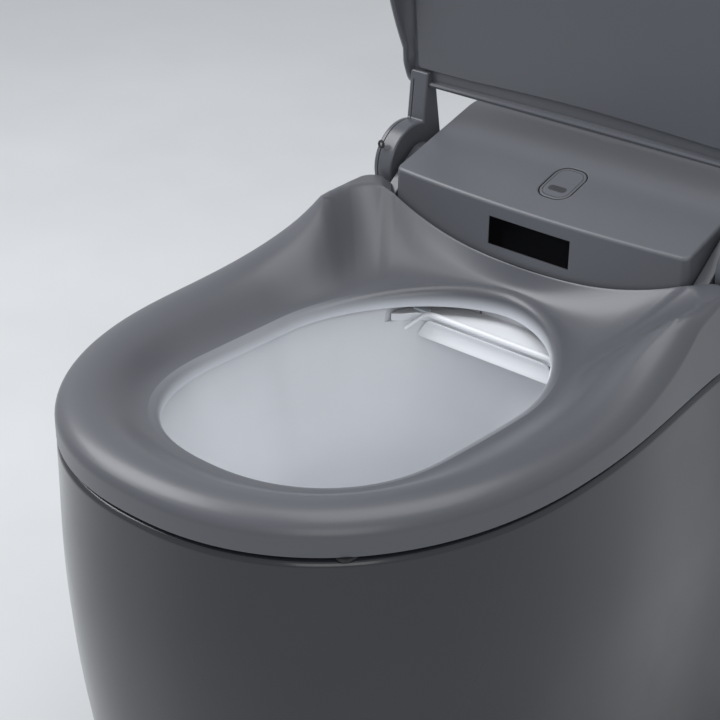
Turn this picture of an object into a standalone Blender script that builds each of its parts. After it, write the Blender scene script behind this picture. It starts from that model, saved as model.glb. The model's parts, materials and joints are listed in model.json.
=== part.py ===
"""Smart toilet: a skirted ceramic pan with a wash unit, a seat and a lid.

Units are metres, +Z is up and the user faces -Y. Every shape is drawn in the pan's own
frame, whose origin is the front tip of the rim at rim height, and is then moved to the floor.
"""

import math

import bmesh
import bpy
from mathutils import Matrix, Vector

# Overall sizes
DEPTH = 0.600
RIM_HEIGHT = 0.405
HALF_WIDTH = 0.187
FRONT_LENGTH = 0.225
OUTLINE_POWER = 2.25
TAPER_START = 0.230
TAPER_END = 0.455
SIDE_TAPER = 0.0195
FIT_GAP = 0.0003
RUNNING_GAP = 0.0015

# Pan
RIM_ROUND = 0.005
SKIRT_BULGE = 0.002
SKIRT_BULGE_DROP = 0.110
SKIRT_SHARES = ((0.55, 0.12, 0.3), (0.80, 0.45, 0.7), (1.0, 1.0, 1.0))
SKIRT_FOOT_RECEDE = 0.060
SKIRT_FOOT_INSET = 0.012
PAN_WALL = 0.014
DECK_THICKNESS = 0.028
BACK_CAVITY_HALF = 0.115
BACK_CAVITY_TOP = 0.040
CUT_OVER = 0.010
BOWL_FRONT = 0.058
BOWL_REAR = 0.387
BOWL_HALF = 0.1135
BOWL_WALL = 0.013
BOWL_MIDDLE_FRONT = 0.175
BOWL_MIDDLE_REAR = 0.245
SUMP_FRONT = 0.212
SUMP_REAR = 0.292
SUMP_HALF = 0.036
BOWL_DEPTH = 0.290
TRAP_BORE = 0.034
TRAP_OUTER = 0.046
SPIGOT_OUTER = 0.051
SPIGOT_LENGTH = 0.060
SPIGOT_DROP = 0.220
SPIGOT_BACK = 0.020
TRAP_START = (0.250, -0.262)
TRAP_DIP = (0.322, -0.336)
TRAP_CREST = (0.418, -0.205)
TRAP_BEND = 0.062
FLUSH_BORE = 0.026
FLUSH_OUTER = 0.036
FLUSH_DROP = 0.085
FLUSH_START = 0.345
FLUSH_BACK = 0.022
POCKET_HALF = 0.066
POCKET_FRONT = 0.372
DECK_BOLT_SPACING = 0.0775
DECK_BOLT_Y = 0.445
DECK_BOLT_HOLE = 0.0065
SIDE_HOLE_Y = 0.500
SIDE_HOLE_UP = 0.050
SIDE_HOLE_RADIUS = 0.0060

# Seat
SEAT_GAP = 0.0025
SEAT_OPEN_FRONT = 0.068
SEAT_OPEN_REAR = 0.378
SEAT_OPEN_HALF = 0.105
SEAT_OPEN_MIDDLE_FRONT = 0.175
SEAT_OPEN_MIDDLE_REAR = 0.250
SEAT_CENTRE_Y = 0.225
SEAT_REAR = 0.4015
SEAT_REAR_BOW = 0.002
SEAT_CORNER = 0.012
SEAT_LIP = 0.003
SEAT_LIP_WIDTH = 0.005
SEAT_BASE_TOP = 0.0066
SEAT_SKIRT_WIDTH = 0.0038
INNER_TOP = 0.0105
INNER_FRONT_RISE = 0.0035
INNER_REAR_RISE = 0.0095
INNER_REACH = 0.160
INNER_ROUND = 0.008
CROWN_FRONT = 0.0265
CROWN_SIDE_RISE = 0.0015
CROWN_REAR_RISE = 0.038
CROWN_RISE_START = 0.220
CROWN_RISE_LENGTH = 0.175
CROWN_INSET = 0.022
CROWN_ROLL = 0.014
REAR_ROLL = 0.003
REAR_LINE_MIDDLE = 0.034
REAR_LINE_RISE = 0.011
REAR_LINE_REACH = 0.105
REAR_LINE_TOP = 0.066
LUG_INNER = 0.1345
LUG_OUTER = 0.1470
LUG_RADIUS = 0.017
LUG_START = 0.385
LUG_ROOT_LOW = 0.020
LUG_ROOT_TOP = 0.058
BUFFER_LENGTH = 0.026
BUFFER_WIDTH = 0.011
BUFFER_FRONT = (0.128, 0.062)
BUFFER_BACK = (0.150, 0.330)

# Hinge line
AXIS_Y = 0.450
AXIS_Z = 0.067
PIN_RADIUS = 0.005
PIN_INNER = 0.090
PIN_OUTER = 0.1655
PIN_CLEARANCE = 0.0003
LID_OPEN_DEGREES = 98.0

# Lid, drawn closed
LID_MARGIN = 0.0015
LID_REAR = 0.390
LID_FRONT_TOP = 0.046
LID_SLOPE = 0.050
LID_CURVE = 0.108
LID_CENTRE_Y = 0.205
LID_SHELL = 0.005
LID_WALL = 0.006
LID_EDGE_ROUND = 0.012
LID_SEAT_GAP = 0.003
LID_REAR_EDGE = 0.010
LID_LINER_THICKNESS = 0.003
LID_LINER_INSET = 0.010
ARM_INNER = 0.1495
ARM_OUTER = 0.1675
ARM_RADIUS = 0.0325
ARM_SEAT_GAP = 0.0025
ARM_STEP_Z = 0.0705
ARM_ROOT_Y = 0.378
ARM_ROOT_TOP = 0.0790
STOP_RADIUS = 0.0035
STOP_HOLE = 0.0015
STOP_HEIGHT = 0.0012
STOP_X = 0.1610
STOP_BACK = 0.016

# Cover of the wash unit
COVER_HALF = 0.131
COVER_FRONT_TOP = 0.397
COVER_FRONT_LOW = 0.403
COVER_FRONT_BOW = 0.005
COVER_TOP_FRONT = 0.079
COVER_SLOPE_DEGREES = 13.5
COVER_CREST_Y = 0.520
COVER_CREST_EASE = 0.040
COVER_BACK = 0.590
COVER_BACK_DROP = 0.010
COVER_LOW = 0.0335
COVER_FRONT_CORNER = 0.008
COVER_BACK_CORNER = 0.036
COVER_EDGE = 0.0025
COVER_WALL = 0.003
WINDOW_HALF = 0.037
WINDOW_LOW = 0.044
WINDOW_TOP = 0.066
WINDOW_THICKNESS = 0.0026
WINDOW_RECESS = 0.0004
BUTTON_Y = 0.442
BUTTON_HALF = 0.0138
BUTTON_HALF_LENGTH = 0.0185
BUTTON_CORNER = 0.0105
BUTTON_GAP = 0.0006
BUTTON_THICKNESS = 0.0052
BUTTON_FLOAT = 0.0002
BUTTON_ROUND = 0.0007
BUTTON_LIP = 0.0018

# Tray under the cover
TRAY_FRONT = 0.416
TRAY_BACK = 0.592
TRAY_HALF = 0.165
TRAY_FLOOR = 0.005
TRAY_POD_INNER = 0.127
TRAY_TOP = 0.033
TRAY_OPENING_LEFT = 0.036
TRAY_OPENING_RIGHT = 0.062
TRAY_OPENING_BACK = 0.470
BRACKET_INNER = 0.1185
BRACKET_OUTER = 0.1245
BRACKET_HALF_LENGTH = 0.021
BRACKET_FOOT = 0.020
BRACKET_FOOT_THICKNESS = 0.003
DAMPER_RADIUS = 0.0125
DAMPER_LENGTH = 0.026
DAMPER_FLANGE = 0.0155
DAMPER_FLANGE_LENGTH = 0.003

# Nozzle unit
SPRAY_DEGREES = 28.0
SPRAY_Y = 0.352
SPRAY_Z = -0.0345
NOZZLE_RADIUS = 0.0062
NOZZLE_CLEARANCE = 0.0006
NOZZLE_SPREAD = 0.0125
NOZZLE_LENGTH = 0.150
NOZZLE_BACK_SET = 0.012
NOZZLE_JET = 0.0008
NOZZLE_JET_DEPTH = 0.002
NOZZLE_JET_SETS = (0.006, 0.0088, 0.0116)
HOUSING_HALF = 0.0290
HOUSING_UNDER = 0.0105
HOUSING_OVER = 0.0082
HOUSING_FRONT = 0.358
HOUSING_BACK_RUN = 0.150
SHELF_HALF = 0.086
SHELF_FRONT = 0.3555
SHELF_SIDE_Y = 0.338
SHELF_DEPTH = 0.0435
SHELF_BACK = 0.3815
SHELF_TOP = -0.0062
SHELF_BOTTOM = -0.0125
RECESS_FRONT = 0.330
RECESS_SHARES = ((0.955, -0.18), (0.955, 0.30), (0.80, 0.83), (0.46, 1.05), (0, 1.05))
SHELF_SHARES = ((0.66, 0.40), (0.86, 0.08), (0.93, 0.0), (0.90, 0.28), (0.76, 0.76), (0.42, 1.0))
RIDGE_FRONT = 0.3555
RIDGE_BACK = 0.3640
RIDGE_HALF = 0.044
RIDGE_TOP = -0.0040
CHIN_HALF = 0.056
CHIN_BACK = 0.366
CHIN_LOW = -0.0215
FLAP_HALF = 0.057
FLAP_TOP = -0.0100
FLAP_LOW = -0.0235
FLAP_BACK = 0.3550
FLAP_THICKNESS = 0.0030
FLAP_BULGE = 0.0016
LENS_X = 0.066
LENS_HALF = 0.007
LENS_THICKNESS = 0.0030
LENS_LENGTH = 0.006
LENS_Y = 0.3585
DRIVE_LENGTH = 0.040
DRIVE_RISE = 0.006

# Equipment in the unit
BOARD_HALF = 0.046
BOARD_THICKNESS = 0.0016
BOARD_LOW = 0.040
EYE_SIZE = (0.030, 0.0032, 0.010)
HEATER_X = -0.092
HEATER_Y = 0.529
HEATER_SIZE = (0.050, 0.050, 0.036)
PUMP_X = -0.078
PUMP_Y = 0.480
PUMP_RADIUS = 0.015
PUMP_LENGTH = 0.030
VALVE_X = -0.050
VALVE_Y = 0.560
VALVE_SIZE = (0.022, 0.034, 0.026)
VALVE_COIL = 0.009
VALVE_COIL_HEIGHT = 0.018
INLET_X = -0.100
INLET_Y = 0.571
INLET_RADIUS = 0.0100
INLET_HOLE = 0.0108
INLET_FLANGE = 0.0140
INLET_FLANGE_THICKNESS = 0.003
INLET_LENGTH = 0.055
INLET_BORE = 0.0065
POWER_X = 0.100
POWER_RADIUS = 0.0080
POWER_HOLE = 0.0088
POWER_FLANGE = 0.0115
POWER_LENGTH = 0.048
POWER_BORE = 0.0035
FAN_X = 0.080
FAN_Y = 0.520
FAN_Z = 0.046
FAN_RADIUS = 0.036
FAN_HALF = 0.016
FAN_WALL = 0.002
FAN_EYE = 0.014
IMPELLER_RADIUS = 0.028
IMPELLER_HUB = 0.008
IMPELLER_HALF = 0.0105
IMPELLER_DISC = 0.0012
IMPELLER_BLADE = 0.0012
IMPELLER_BLADE_IN = 0.016
MOTOR_RADIUS = 0.012
MOTOR_LENGTH = 0.016
MOTOR_SHAFT = 0.003
DUCT_HALF = 0.009
DUCT_TALL = 0.0045
DUCT_WALL = 0.0014
DUCT_X = 0.045
DUCT_OUT_Z = -0.0178
FILTER_HALF_LENGTH = 0.026
FILTER_Y = 0.545
FILTER_LOW = 0.0085
FILTER_TOP = 0.0285
FILTER_INNER = 0.131
FILTER_CLEARANCE = 0.0008
SIDE_BUTTON_RADIUS = 0.0065
SIDE_BUTTON_HEIGHT = 0.0060
SIDE_BUTTON_PROUD = 0.0018
SIDE_BUTTON_X = 0.1480
SIDE_BUTTON_YS = (0.497, 0.516)

# Fixings
BOLT_RADIUS = 0.004
BOLT_HEAD = 0.009
BOLT_HEAD_HEIGHT = 0.004
BOLT_LENGTH = 0.050
SLEEVE_WALL = 0.004
SLEEVE_LENGTH = 0.036
SEAL_LENGTH = 0.020
SEAL_LIP = 0.006
SEAL_WALL = 0.0035
FOOT_LENGTH = 0.040
FOOT_WIDTH = 0.034
FOOT_HEIGHT = 0.075
FOOT_THICKNESS = 0.004
CAP_RADIUS = 0.0100
CAP_THICKNESS = 0.0015
SIDE_BOLT_RADIUS = 0.004
SIDE_BOLT_LENGTH = 0.034
SIDE_BOLT_HEAD = 0.0078
SIDE_HEAD_HEIGHT = 0.0022

QUARTER = 9
ROUND = 24
ROUND_SMALL = 16

FRAME = Vector((0, -DEPTH / 2, RIM_HEIGHT))
AXIS = Vector((0, AXIS_Y, AXIS_Z))
OPEN = math.radians(LID_OPEN_DEGREES)
SPRAY = math.radians(SPRAY_DEGREES)
SPRAY_DIR = Vector((0, -math.cos(SPRAY), -math.sin(SPRAY)))
SPRAY_UP = Vector((0, -math.sin(SPRAY), math.cos(SPRAY)))
SPRAY_POINT = Vector((0, SPRAY_Y, SPRAY_Z))


def clear_scene():
    for obj in list(bpy.data.objects):
        bpy.data.objects.remove(obj, do_unlink=True)


def surface(name, colour, roughness, metallic=0.0, alpha=1.0):
    found = bpy.data.materials.get(name)
    if found:
        return found
    made = bpy.data.materials.new(name)
    made.use_nodes = True
    shader = made.node_tree.nodes["Principled BSDF"]
    shader.inputs["Base Color"].default_value = (*colour, 1.0)
    shader.inputs["Roughness"].default_value = roughness
    shader.inputs["Metallic"].default_value = metallic
    shader.inputs["Alpha"].default_value = alpha
    made.diffuse_color = (*colour, alpha)
    return made


CERAMIC = ("grey_ceramic", (0.115, 0.122, 0.138), 0.22)
SEAT_GREY = ("grey_seat", (0.130, 0.137, 0.152), 0.30)
LID_GREY = ("grey_lid", (0.122, 0.129, 0.145), 0.30)
COVER_GREY = ("grey_cover", (0.130, 0.137, 0.152), 0.34)
BLACK_GLOSS = ("black_window", (0.003, 0.003, 0.004), 0.08)
WHITE = ("white_plastic", (0.72, 0.75, 0.80), 0.32)
LENS = ("light_lens", (0.82, 0.90, 1.0), 0.25)
RUBBER = ("dark_rubber", (0.030, 0.031, 0.034), 0.75)
STEEL = ("steel", (0.55, 0.56, 0.58), 0.32, 1.0)
BRASS = ("brass", (0.62, 0.45, 0.18), 0.35, 1.0)
BLACK = ("black_plastic", (0.020, 0.021, 0.024), 0.50)
BOARD = ("board_green", (0.020, 0.115, 0.050), 0.45)
HEAT = ("heater_shell", (0.33, 0.34, 0.36), 0.50)


def mesh_from(name, verts, faces, look):
    """One closed body with its faces turned out."""
    mesh = bpy.data.meshes.new(name)
    bm = bmesh.new()
    made = [bm.verts.new(v) for v in verts]
    for face in faces:
        bm.faces.new([made[i] for i in face])
    bmesh.ops.recalc_face_normals(bm, faces=bm.faces)
    if bm.calc_volume(signed=True) < 0:
        bmesh.ops.reverse_faces(bm, faces=bm.faces)
    bm.to_mesh(mesh)
    bm.free()
    mesh.materials.append(surface(*look))
    mesh.shade_smooth()
    mesh.set_sharp_from_angle(angle=math.radians(35))
    obj = bpy.data.objects.new(name, mesh)
    bpy.context.scene.collection.objects.link(obj)
    return obj


def skin(name, rings, look, around=False, poles=()):
    """Rings of equal length joined in order, then closed by poles, flat ends or round again."""
    size = len(rings[0])
    verts = [v for ring in rings for v in ring]
    faces = []
    for i in range(len(rings) - (0 if around else 1)):
        a, b = i * size, (i + 1) % len(rings) * size
        for j in range(size):
            k = (j + 1) % size
            faces.append((a + j, a + k, b + k, b + j))
    last = (len(rings) - 1) * size
    if poles:
        for pole, start in zip(poles, (0, last)):
            verts.append(pole)
            for j in range(size):
                faces.append((start + j, start + (j + 1) % size, len(verts) - 1))
    elif not around:
        faces.append(tuple(range(size)))
        faces.append(tuple(last + j for j in range(size)))
    return mesh_from(name, verts, faces, look)


def prism(name, outline, axis, low, high, look, bevel=0.0, segments=2):
    """A flat outline pushed along one axis, its long edges rounded when a bevel is given."""
    def point(p, level):
        spot = list(p)
        spot.insert(axis, level)
        return Vector(spot)
    obj = skin(name, [[point(p, low) for p in outline], [point(p, high) for p in outline]], look)
    if bevel:
        soften(obj, bevel, segments)
    return obj


def soften(obj, width, segments=2):
    """Rounds the edges that turn sharply."""
    made = obj.modifiers.new("edges", "BEVEL")
    made.width = width
    made.segments = segments
    made.limit_method = "ANGLE"
    made.angle_limit = math.radians(40)
    return obj


def block(name, centre, size, look, bevel=0.0, segments=2):
    x, y, z = (s / 2 for s in size)
    outline = [(-x, -y), (x, -y), (x, y), (-x, y)]
    moved = [(centre[0] + a, centre[1] + b) for a, b in outline]
    return prism(name, moved, 2, centre[2] - z, centre[2] + z, look, bevel, segments)


def basis(direction):
    d = Vector(direction).normalized()
    side = Vector((1, 0, 0)) if abs(d.x) < 0.5 else Vector((0, 1, 0))
    u = (side - d * side.dot(d)).normalized()
    return d, u, d.cross(u)


def turned(name, start, direction, profile, look, count=ROUND):
    """A closed profile of (distance, radius) turned about a line. Radius 0 closes an end."""
    d, u, v = basis(direction)
    start = Vector(start)
    def ring(along, radius):
        return [
            start + d * along + (u * math.cos(t) + v * math.sin(t)) * radius
            for t in (2 * math.pi * i / count for i in range(count))
        ]
    if profile[0][1] == 0 and profile[-1][1] == 0:
        poles = (start + d * profile[0][0], start + d * profile[-1][0])
        return skin(name, [ring(*p) for p in profile[1:-1]], look, poles=poles)
    return skin(name, [ring(*p) for p in profile], look, around=True)


def rod(name, start, direction, length, radius, look, count=ROUND, edge=0.0):
    profile = [(0, 0), (0, radius), (length, radius), (length, 0)]
    if edge:
        profile = [
            (0, 0), (0, radius - edge), (edge, radius),
            (length - edge, radius), (length, radius - edge), (length, 0),
        ]
    return turned(name, start, direction, profile, look, count)


def pipe(name, start, direction, length, outer, bore, look, count=ROUND):
    profile = [(0, bore), (0, outer), (length, outer), (length, bore)]
    return turned(name, start, direction, profile, look, count)


def swept(name, path, radii, look, count=ROUND):
    """A round solid along a path that lies in the middle plane."""
    rings = []
    for i, (spot, radius) in enumerate(zip(path, radii)):
        before = Vector(path[max(i - 1, 0)])
        after = Vector(path[min(i + 1, len(path) - 1)])
        d = (after - before).normalized()
        up = Vector((1, 0, 0)).cross(d)
        rings.append([
            Vector(spot) + (Vector((1, 0, 0)) * math.cos(t) + up * math.sin(t)) * radius
            for t in (2 * math.pi * k / count for k in range(count))
        ])
    return skin(name, rings, look)


def helper(obj):
    obj.hide_render = True
    obj.display_type = "WIRE"
    return obj


def combine(obj, other, operation):
    made = obj.modifiers.new(other.name, "BOOLEAN")
    made.operation = operation
    made.object = helper(other)
    return obj


def cut(obj, *others):
    for other in others:
        combine(obj, other, "DIFFERENCE")
    return obj


def join(obj, *others):
    for other in others:
        combine(obj, other, "UNION")
    return obj


def rounded_box(cx, cy, hx, hy, radius, count=4):
    """A rectangle's outline with round corners, anticlockwise."""
    points = []
    for sx, sy, start in ((1, 1, 0), (-1, 1, 1), (-1, -1, 2), (1, -1, 3)):
        for i in range(count + 1):
            t = (start + i / count) * math.pi / 2
            points.append((
                cx + sx * (hx - radius) + radius * math.cos(t),
                cy + sy * (hy - radius) + radius * math.sin(t),
            ))
    return points


def ease(t):
    t = min(max(t, 0), 1)
    return (1 - math.cos(math.pi * t)) / 2


def half_width(y):
    """The plan's half width behind its widest line."""
    return HALF_WIDTH - SIDE_TAPER * ease((y - TAPER_START) / (TAPER_END - TAPER_START))


def skirt_half(y, z):
    """The half width of the skirt at a height below the rim."""
    depth = -z / RIM_HEIGHT
    (low, _, a), (high, _, b) = SKIRT_SHARES[1:]
    narrow = a + (b - a) * (depth - low) / (high - low)
    return half_width(y) - SKIRT_FOOT_INSET * narrow


def oval_quarter(half, length, power, count, share=1.0):
    """From the tip of an oval to its side: (sideways, distance from the side line)."""
    points = []
    for i in range(count + 1):
        t = math.pi / 2 * (i / count) ** share
        points.append((
            half * math.sin(t) ** (2 / power),
            length * max(math.cos(t), 0) ** (2 / power),
        ))
    return points


TIP_SHARE = 1.15
SIDE_STATIONS = (0.300, 0.360, 0.410, 0.450, 0.520)


def mirrored(right):
    """A right half from the tip to the rear corner, closed by its mirror image."""
    left = [(-x, y) for x, y in reversed(right) if x > 0]
    return list(right) + left


def pan_outline(inset, recede, rear):
    quarter = oval_quarter(
        HALF_WIDTH - inset, FRONT_LENGTH - inset - recede, OUTLINE_POWER, QUARTER, TIP_SHARE
    )
    right = [(x, FRONT_LENGTH - y) for x, y in quarter]
    right += [(half_width(y) - inset, y) for y in SIDE_STATIONS]
    right.append((half_width(rear) - inset, rear))
    return mirrored(right)


def egg(front, rear, half, middle_front, middle_rear, count=QUARTER, front_power=2.25, rear_power=1.8):
    """The bowl's and the opening's outline: a round front, a short side and a flatter rear."""
    right = [
        (x, middle_front - y)
        for x, y in oval_quarter(half, middle_front - front, front_power, count, TIP_SHARE)
    ]
    back = oval_quarter(half, rear - middle_rear, rear_power, count, TIP_SHARE)
    right += [(x, middle_rear + y) for x, y in reversed(back)]
    return mirrored(right)


def at_height(outline, z):
    return [Vector((x, y, z)) for x, y in outline]


def settle(objects, origin=(0, 0, 0), turn=0.0, parent=None):
    """Moves pieces to the floor frame, with their origins on the given point of the pan's frame."""
    origin = Vector(origin)
    for obj in objects:
        obj.data.transform(Matrix.Translation(-origin))
        obj.rotation_euler = (turn, 0, 0)
        obj.location = FRAME + origin


BOWL_LEVELS = (0.0, 0.07, 0.15, 0.27, 0.42, 0.58, 0.74, 0.88, 1.0)


def bowl_rings(inset, top, bottom):
    """The bowl narrows slowly at first and then faster, down to the sump."""
    rings = [at_height(
        egg(BOWL_FRONT - inset, BOWL_REAR + inset, BOWL_HALF + inset,
            BOWL_MIDDLE_FRONT, BOWL_MIDDLE_REAR), top)]
    for level in BOWL_LEVELS:
        share = 0.5 * level ** 2.2 + 0.5 * level ** 1.1
        front = BOWL_FRONT + (SUMP_FRONT - BOWL_FRONT) * share
        rear = BOWL_REAR + (SUMP_REAR - BOWL_REAR) * share
        half = BOWL_HALF + (SUMP_HALF - BOWL_HALF) * share
        middle_front = BOWL_MIDDLE_FRONT + (SUMP_REAR - BOWL_MIDDLE_REAR) * share
        middle_rear = BOWL_MIDDLE_REAR + (SUMP_REAR - BOWL_MIDDLE_REAR) * share * 0.2
        middle_rear = max(middle_rear, middle_front + FIT_GAP)
        depth = BOWL_DEPTH * level
        if depth <= -top:
            continue
        rings.append(at_height(
            egg(front - inset, rear + inset, half + inset, middle_front, middle_rear),
            -depth))
    rings.append([Vector((p.x, p.y, bottom)) for p in rings[-1]])
    return rings


def bent(points, radius, steps=5):
    """A path through the given points with its inner corners turned to round bends."""
    path = [points[0]]
    for a, b, c in zip(points, points[1:], points[2:]):
        back, ahead = (a - b).normalized(), (c - b).normalized()
        half = back.angle(ahead) / 2
        reach = radius / math.tan(half)
        centre = b + (back + ahead).normalized() * (radius / math.sin(half))
        start = (b + back * reach - centre).normalized()
        end = (b + ahead * reach - centre).normalized()
        for k in range(steps + 1):
            path.append(centre + start.slerp(end, k / steps) * radius)
    path.append(points[-1])
    return path


def trap_path():
    """From the sump down through the bend, over the crest and out to the spigot."""
    end = DEPTH - SPIGOT_BACK
    points = [Vector((0, *TRAP_START)), Vector((0, *TRAP_DIP)), Vector((0, *TRAP_CREST)),
              Vector((0, end - SPIGOT_LENGTH, -SPIGOT_DROP))]
    return bent(points, TRAP_BEND) + [Vector((0, end, -SPIGOT_DROP))]


def trap_bore(name):
    path = trap_path()
    longer = path[:-1] + [path[-1] + Vector((0, CUT_OVER, 0))]
    return swept(name, longer, [TRAP_BORE] * len(path), CERAMIC)


def channel_bore(name):
    return rod(name, (0, FLUSH_START - CUT_OVER, -FLUSH_DROP), (0, 1, 0),
               DEPTH - FLUSH_BACK - FLUSH_START + 2 * CUT_OVER, FLUSH_BORE, CERAMIC)


def pocket_line(grown):
    """The outside of the pocket under the deck, seen from the side."""
    low = housing_under(POCKET_FRONT) - FIT_GAP / math.cos(SPRAY)
    rear = POCKET_FRONT - low / math.tan(SPRAY)
    start = POCKET_FRONT - CUT_OVER / 2 - grown
    return [
        (start, -DECK_THICKNESS / 2), (start, low - PAN_WALL - grown),
        (rear + PAN_WALL + grown, -PAN_WALL - grown),
        (rear + PAN_WALL + grown, -DECK_THICKNESS / 2),
    ]


def make_passages():
    """The trapway behind the bowl and the flush channel above it, both cast with the pan."""
    path = trap_path()
    outer = [TRAP_OUTER] * (len(path) - 2) + [SPIGOT_OUTER] * 2
    trap = swept("trapway", path, outer, CERAMIC)
    bore = trap_bore("trapway_bore")
    clear = skin("trapway_clear",
                 bowl_rings(BOWL_WALL + FIT_GAP, -RIM_ROUND, -BOWL_DEPTH - BOWL_WALL - FIT_GAP),
                 CERAMIC)
    cut(trap, clear, bore)
    channel = rod("flush_channel", (0, FLUSH_START, -FLUSH_DROP), (0, 1, 0),
                  DEPTH - FLUSH_BACK - FLUSH_START, FLUSH_OUTER, CERAMIC)
    way = channel_bore("channel_bore")
    pocket = prism("channel_pocket", pocket_line(FIT_GAP), 0, -POCKET_HALF - PAN_WALL - FIT_GAP,
                   POCKET_HALF + PAN_WALL + FIT_GAP, CERAMIC)
    cut(channel, clear, pocket, way)
    settle([trap, bore, clear, channel, way, pocket])


def make_pan():
    floor = -RIM_HEIGHT
    rings = []
    for i in range(4):
        t = math.pi / 2 * i / 3
        rings.append(at_height(
            pan_outline(RIM_ROUND * (1 - math.sin(t)), 0, DEPTH),
            -RIM_ROUND * (1 - math.cos(t))))
    rings.append(at_height(pan_outline(-SKIRT_BULGE, SKIRT_BULGE, DEPTH), -SKIRT_BULGE_DROP))
    for level, recede, narrow in SKIRT_SHARES:
        rings.append(at_height(
            pan_outline(SKIRT_FOOT_INSET * narrow, SKIRT_FOOT_RECEDE * recede, DEPTH),
            floor * level))
    for level, recede, narrow in reversed(SKIRT_SHARES):
        rings.append(at_height(
            pan_outline(PAN_WALL + SKIRT_FOOT_INSET * narrow, SKIRT_FOOT_RECEDE * recede,
                        DEPTH - PAN_WALL), floor * level))
    rings.append(at_height(pan_outline(PAN_WALL, 0, DEPTH - PAN_WALL), -DECK_THICKNESS))
    pan = skin("toilet_bowl", rings, CERAMIC)
    back = block(
        "pan_back_cut",
        (0, DEPTH - PAN_WALL / 2, (floor - CUT_OVER - BACK_CAVITY_TOP) / 2),
        (2 * BACK_CAVITY_HALF, PAN_WALL + 2 * CUT_OVER, RIM_HEIGHT + CUT_OVER - BACK_CAVITY_TOP),
        CERAMIC)
    body = skin("pan_bowl_body", bowl_rings(BOWL_WALL, -RIM_ROUND, -BOWL_DEPTH - BOWL_WALL), CERAMIC)
    bore = trap_bore("pan_trap_bore")
    flush_bore = channel_bore("pan_flush_bore")
    inner = skin("pan_bowl_inner", bowl_rings(0, CUT_OVER, -BOWL_DEPTH - FIT_GAP), CERAMIC)
    low = housing_under(POCKET_FRONT) - FIT_GAP / math.cos(SPRAY)
    rear = POCKET_FRONT - low / math.tan(SPRAY)
    pocket_body = prism("pan_pocket_body", pocket_line(0), 0, -POCKET_HALF - PAN_WALL,
                        POCKET_HALF + PAN_WALL, CERAMIC)
    pocket = prism("pan_pocket", [
        (POCKET_FRONT - 2 * CUT_OVER, CUT_OVER), (POCKET_FRONT - 2 * CUT_OVER, low),
        (POCKET_FRONT, low), (rear, 0), (rear + CUT_OVER, CUT_OVER / 2),
        (rear + CUT_OVER, CUT_OVER),
    ], 0, -POCKET_HALF, POCKET_HALF, CERAMIC)
    recess = prism("pan_recess", mirrored(
        [(0, RECESS_FRONT)] + [(SHELF_HALF * a, SHELF_SIDE_Y + SHELF_DEPTH * b)
                               for a, b in RECESS_SHARES]), 2,
        SHELF_BOTTOM - FIT_GAP, CUT_OVER, CERAMIC)
    cut(pan, back)
    join(pan, body, pocket_body)
    cut(pan, inner, bore, flush_bore, pocket, recess)
    made = [back, body, bore, flush_bore, inner, pocket_body, pocket, recess]
    for side in (-1, 1):
        tag = "left" if side < 0 else "right"
        hole = rod("pan_deck_hole_" + tag, (side * DECK_BOLT_SPACING, DECK_BOLT_Y, CUT_OVER),
                   (0, 0, -1), DECK_THICKNESS + 2 * CUT_OVER, DECK_BOLT_HOLE, CERAMIC, ROUND_SMALL)
        low = rod("pan_side_hole_" + tag,
                  (side * BACK_CAVITY_HALF, SIDE_HOLE_Y, floor + SIDE_HOLE_UP),
                  (side, 0, 0), HALF_WIDTH - BACK_CAVITY_HALF + CUT_OVER, SIDE_HOLE_RADIUS,
                  CERAMIC, ROUND_SMALL)
        made += [hole, low]
        cut(pan, hole, low)
    for name, x, radius in (("water", INLET_X, INLET_HOLE), ("power", POWER_X, POWER_HOLE)):
        hole = rod("pan_hole_" + name, (x, INLET_Y, CUT_OVER), (0, 0, -1),
                   DECK_THICKNESS + 2 * CUT_OVER, radius, CERAMIC)
        made.append(hole)
        cut(pan, hole)
    settle([pan] + made)


def crown_height(y):
    rise = max((y - CROWN_RISE_START) / CROWN_RISE_LENGTH, 0)
    front = CROWN_FRONT + CROWN_SIDE_RISE * min(max(y / CROWN_RISE_START, 0), 1)
    return front + CROWN_REAR_RISE * min(rise, 1) ** 1.7


def inner_height(y):
    rise = INNER_REAR_RISE if y > SEAT_CENTRE_Y else INNER_FRONT_RISE
    return INNER_TOP + rise * ((y - SEAT_CENTRE_Y) / INNER_REACH) ** 2


def rear_height(x):
    """The curved line where the seat meets the cover's front."""
    return min(REAR_LINE_TOP, REAR_LINE_MIDDLE + REAR_LINE_RISE * (abs(x) / REAR_LINE_REACH) ** 3.2)


def rear_line(x):
    return SEAT_REAR - SEAT_REAR_BOW * (x / LUG_INNER) ** 2


def seat_outline():
    """The seat's outer edge: oval front, tapering sides, round rear corners, rear line."""
    quarter = oval_quarter(HALF_WIDTH, FRONT_LENGTH, OUTLINE_POWER, 24, TIP_SHARE)
    right = [(x, FRONT_LENGTH - y) for x, y in quarter]
    steps = 10
    end = rear_line(LUG_OUTER) - SEAT_CORNER
    for i in range(1, steps + 1):
        y = FRONT_LENGTH + (end - FRONT_LENGTH) * i / steps
        right.append((half_width(y), y))
    corner = half_width(end) - SEAT_CORNER
    for i in range(1, 7):
        t = math.pi / 2 * i / 6
        right.append((corner + SEAT_CORNER * math.cos(t), end + SEAT_CORNER * math.sin(t)))
    for i in range(1, 9):
        x = corner * (1 - i / 8)
        right.append((x, rear_line(x)))
    return mirrored(right)


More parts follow.
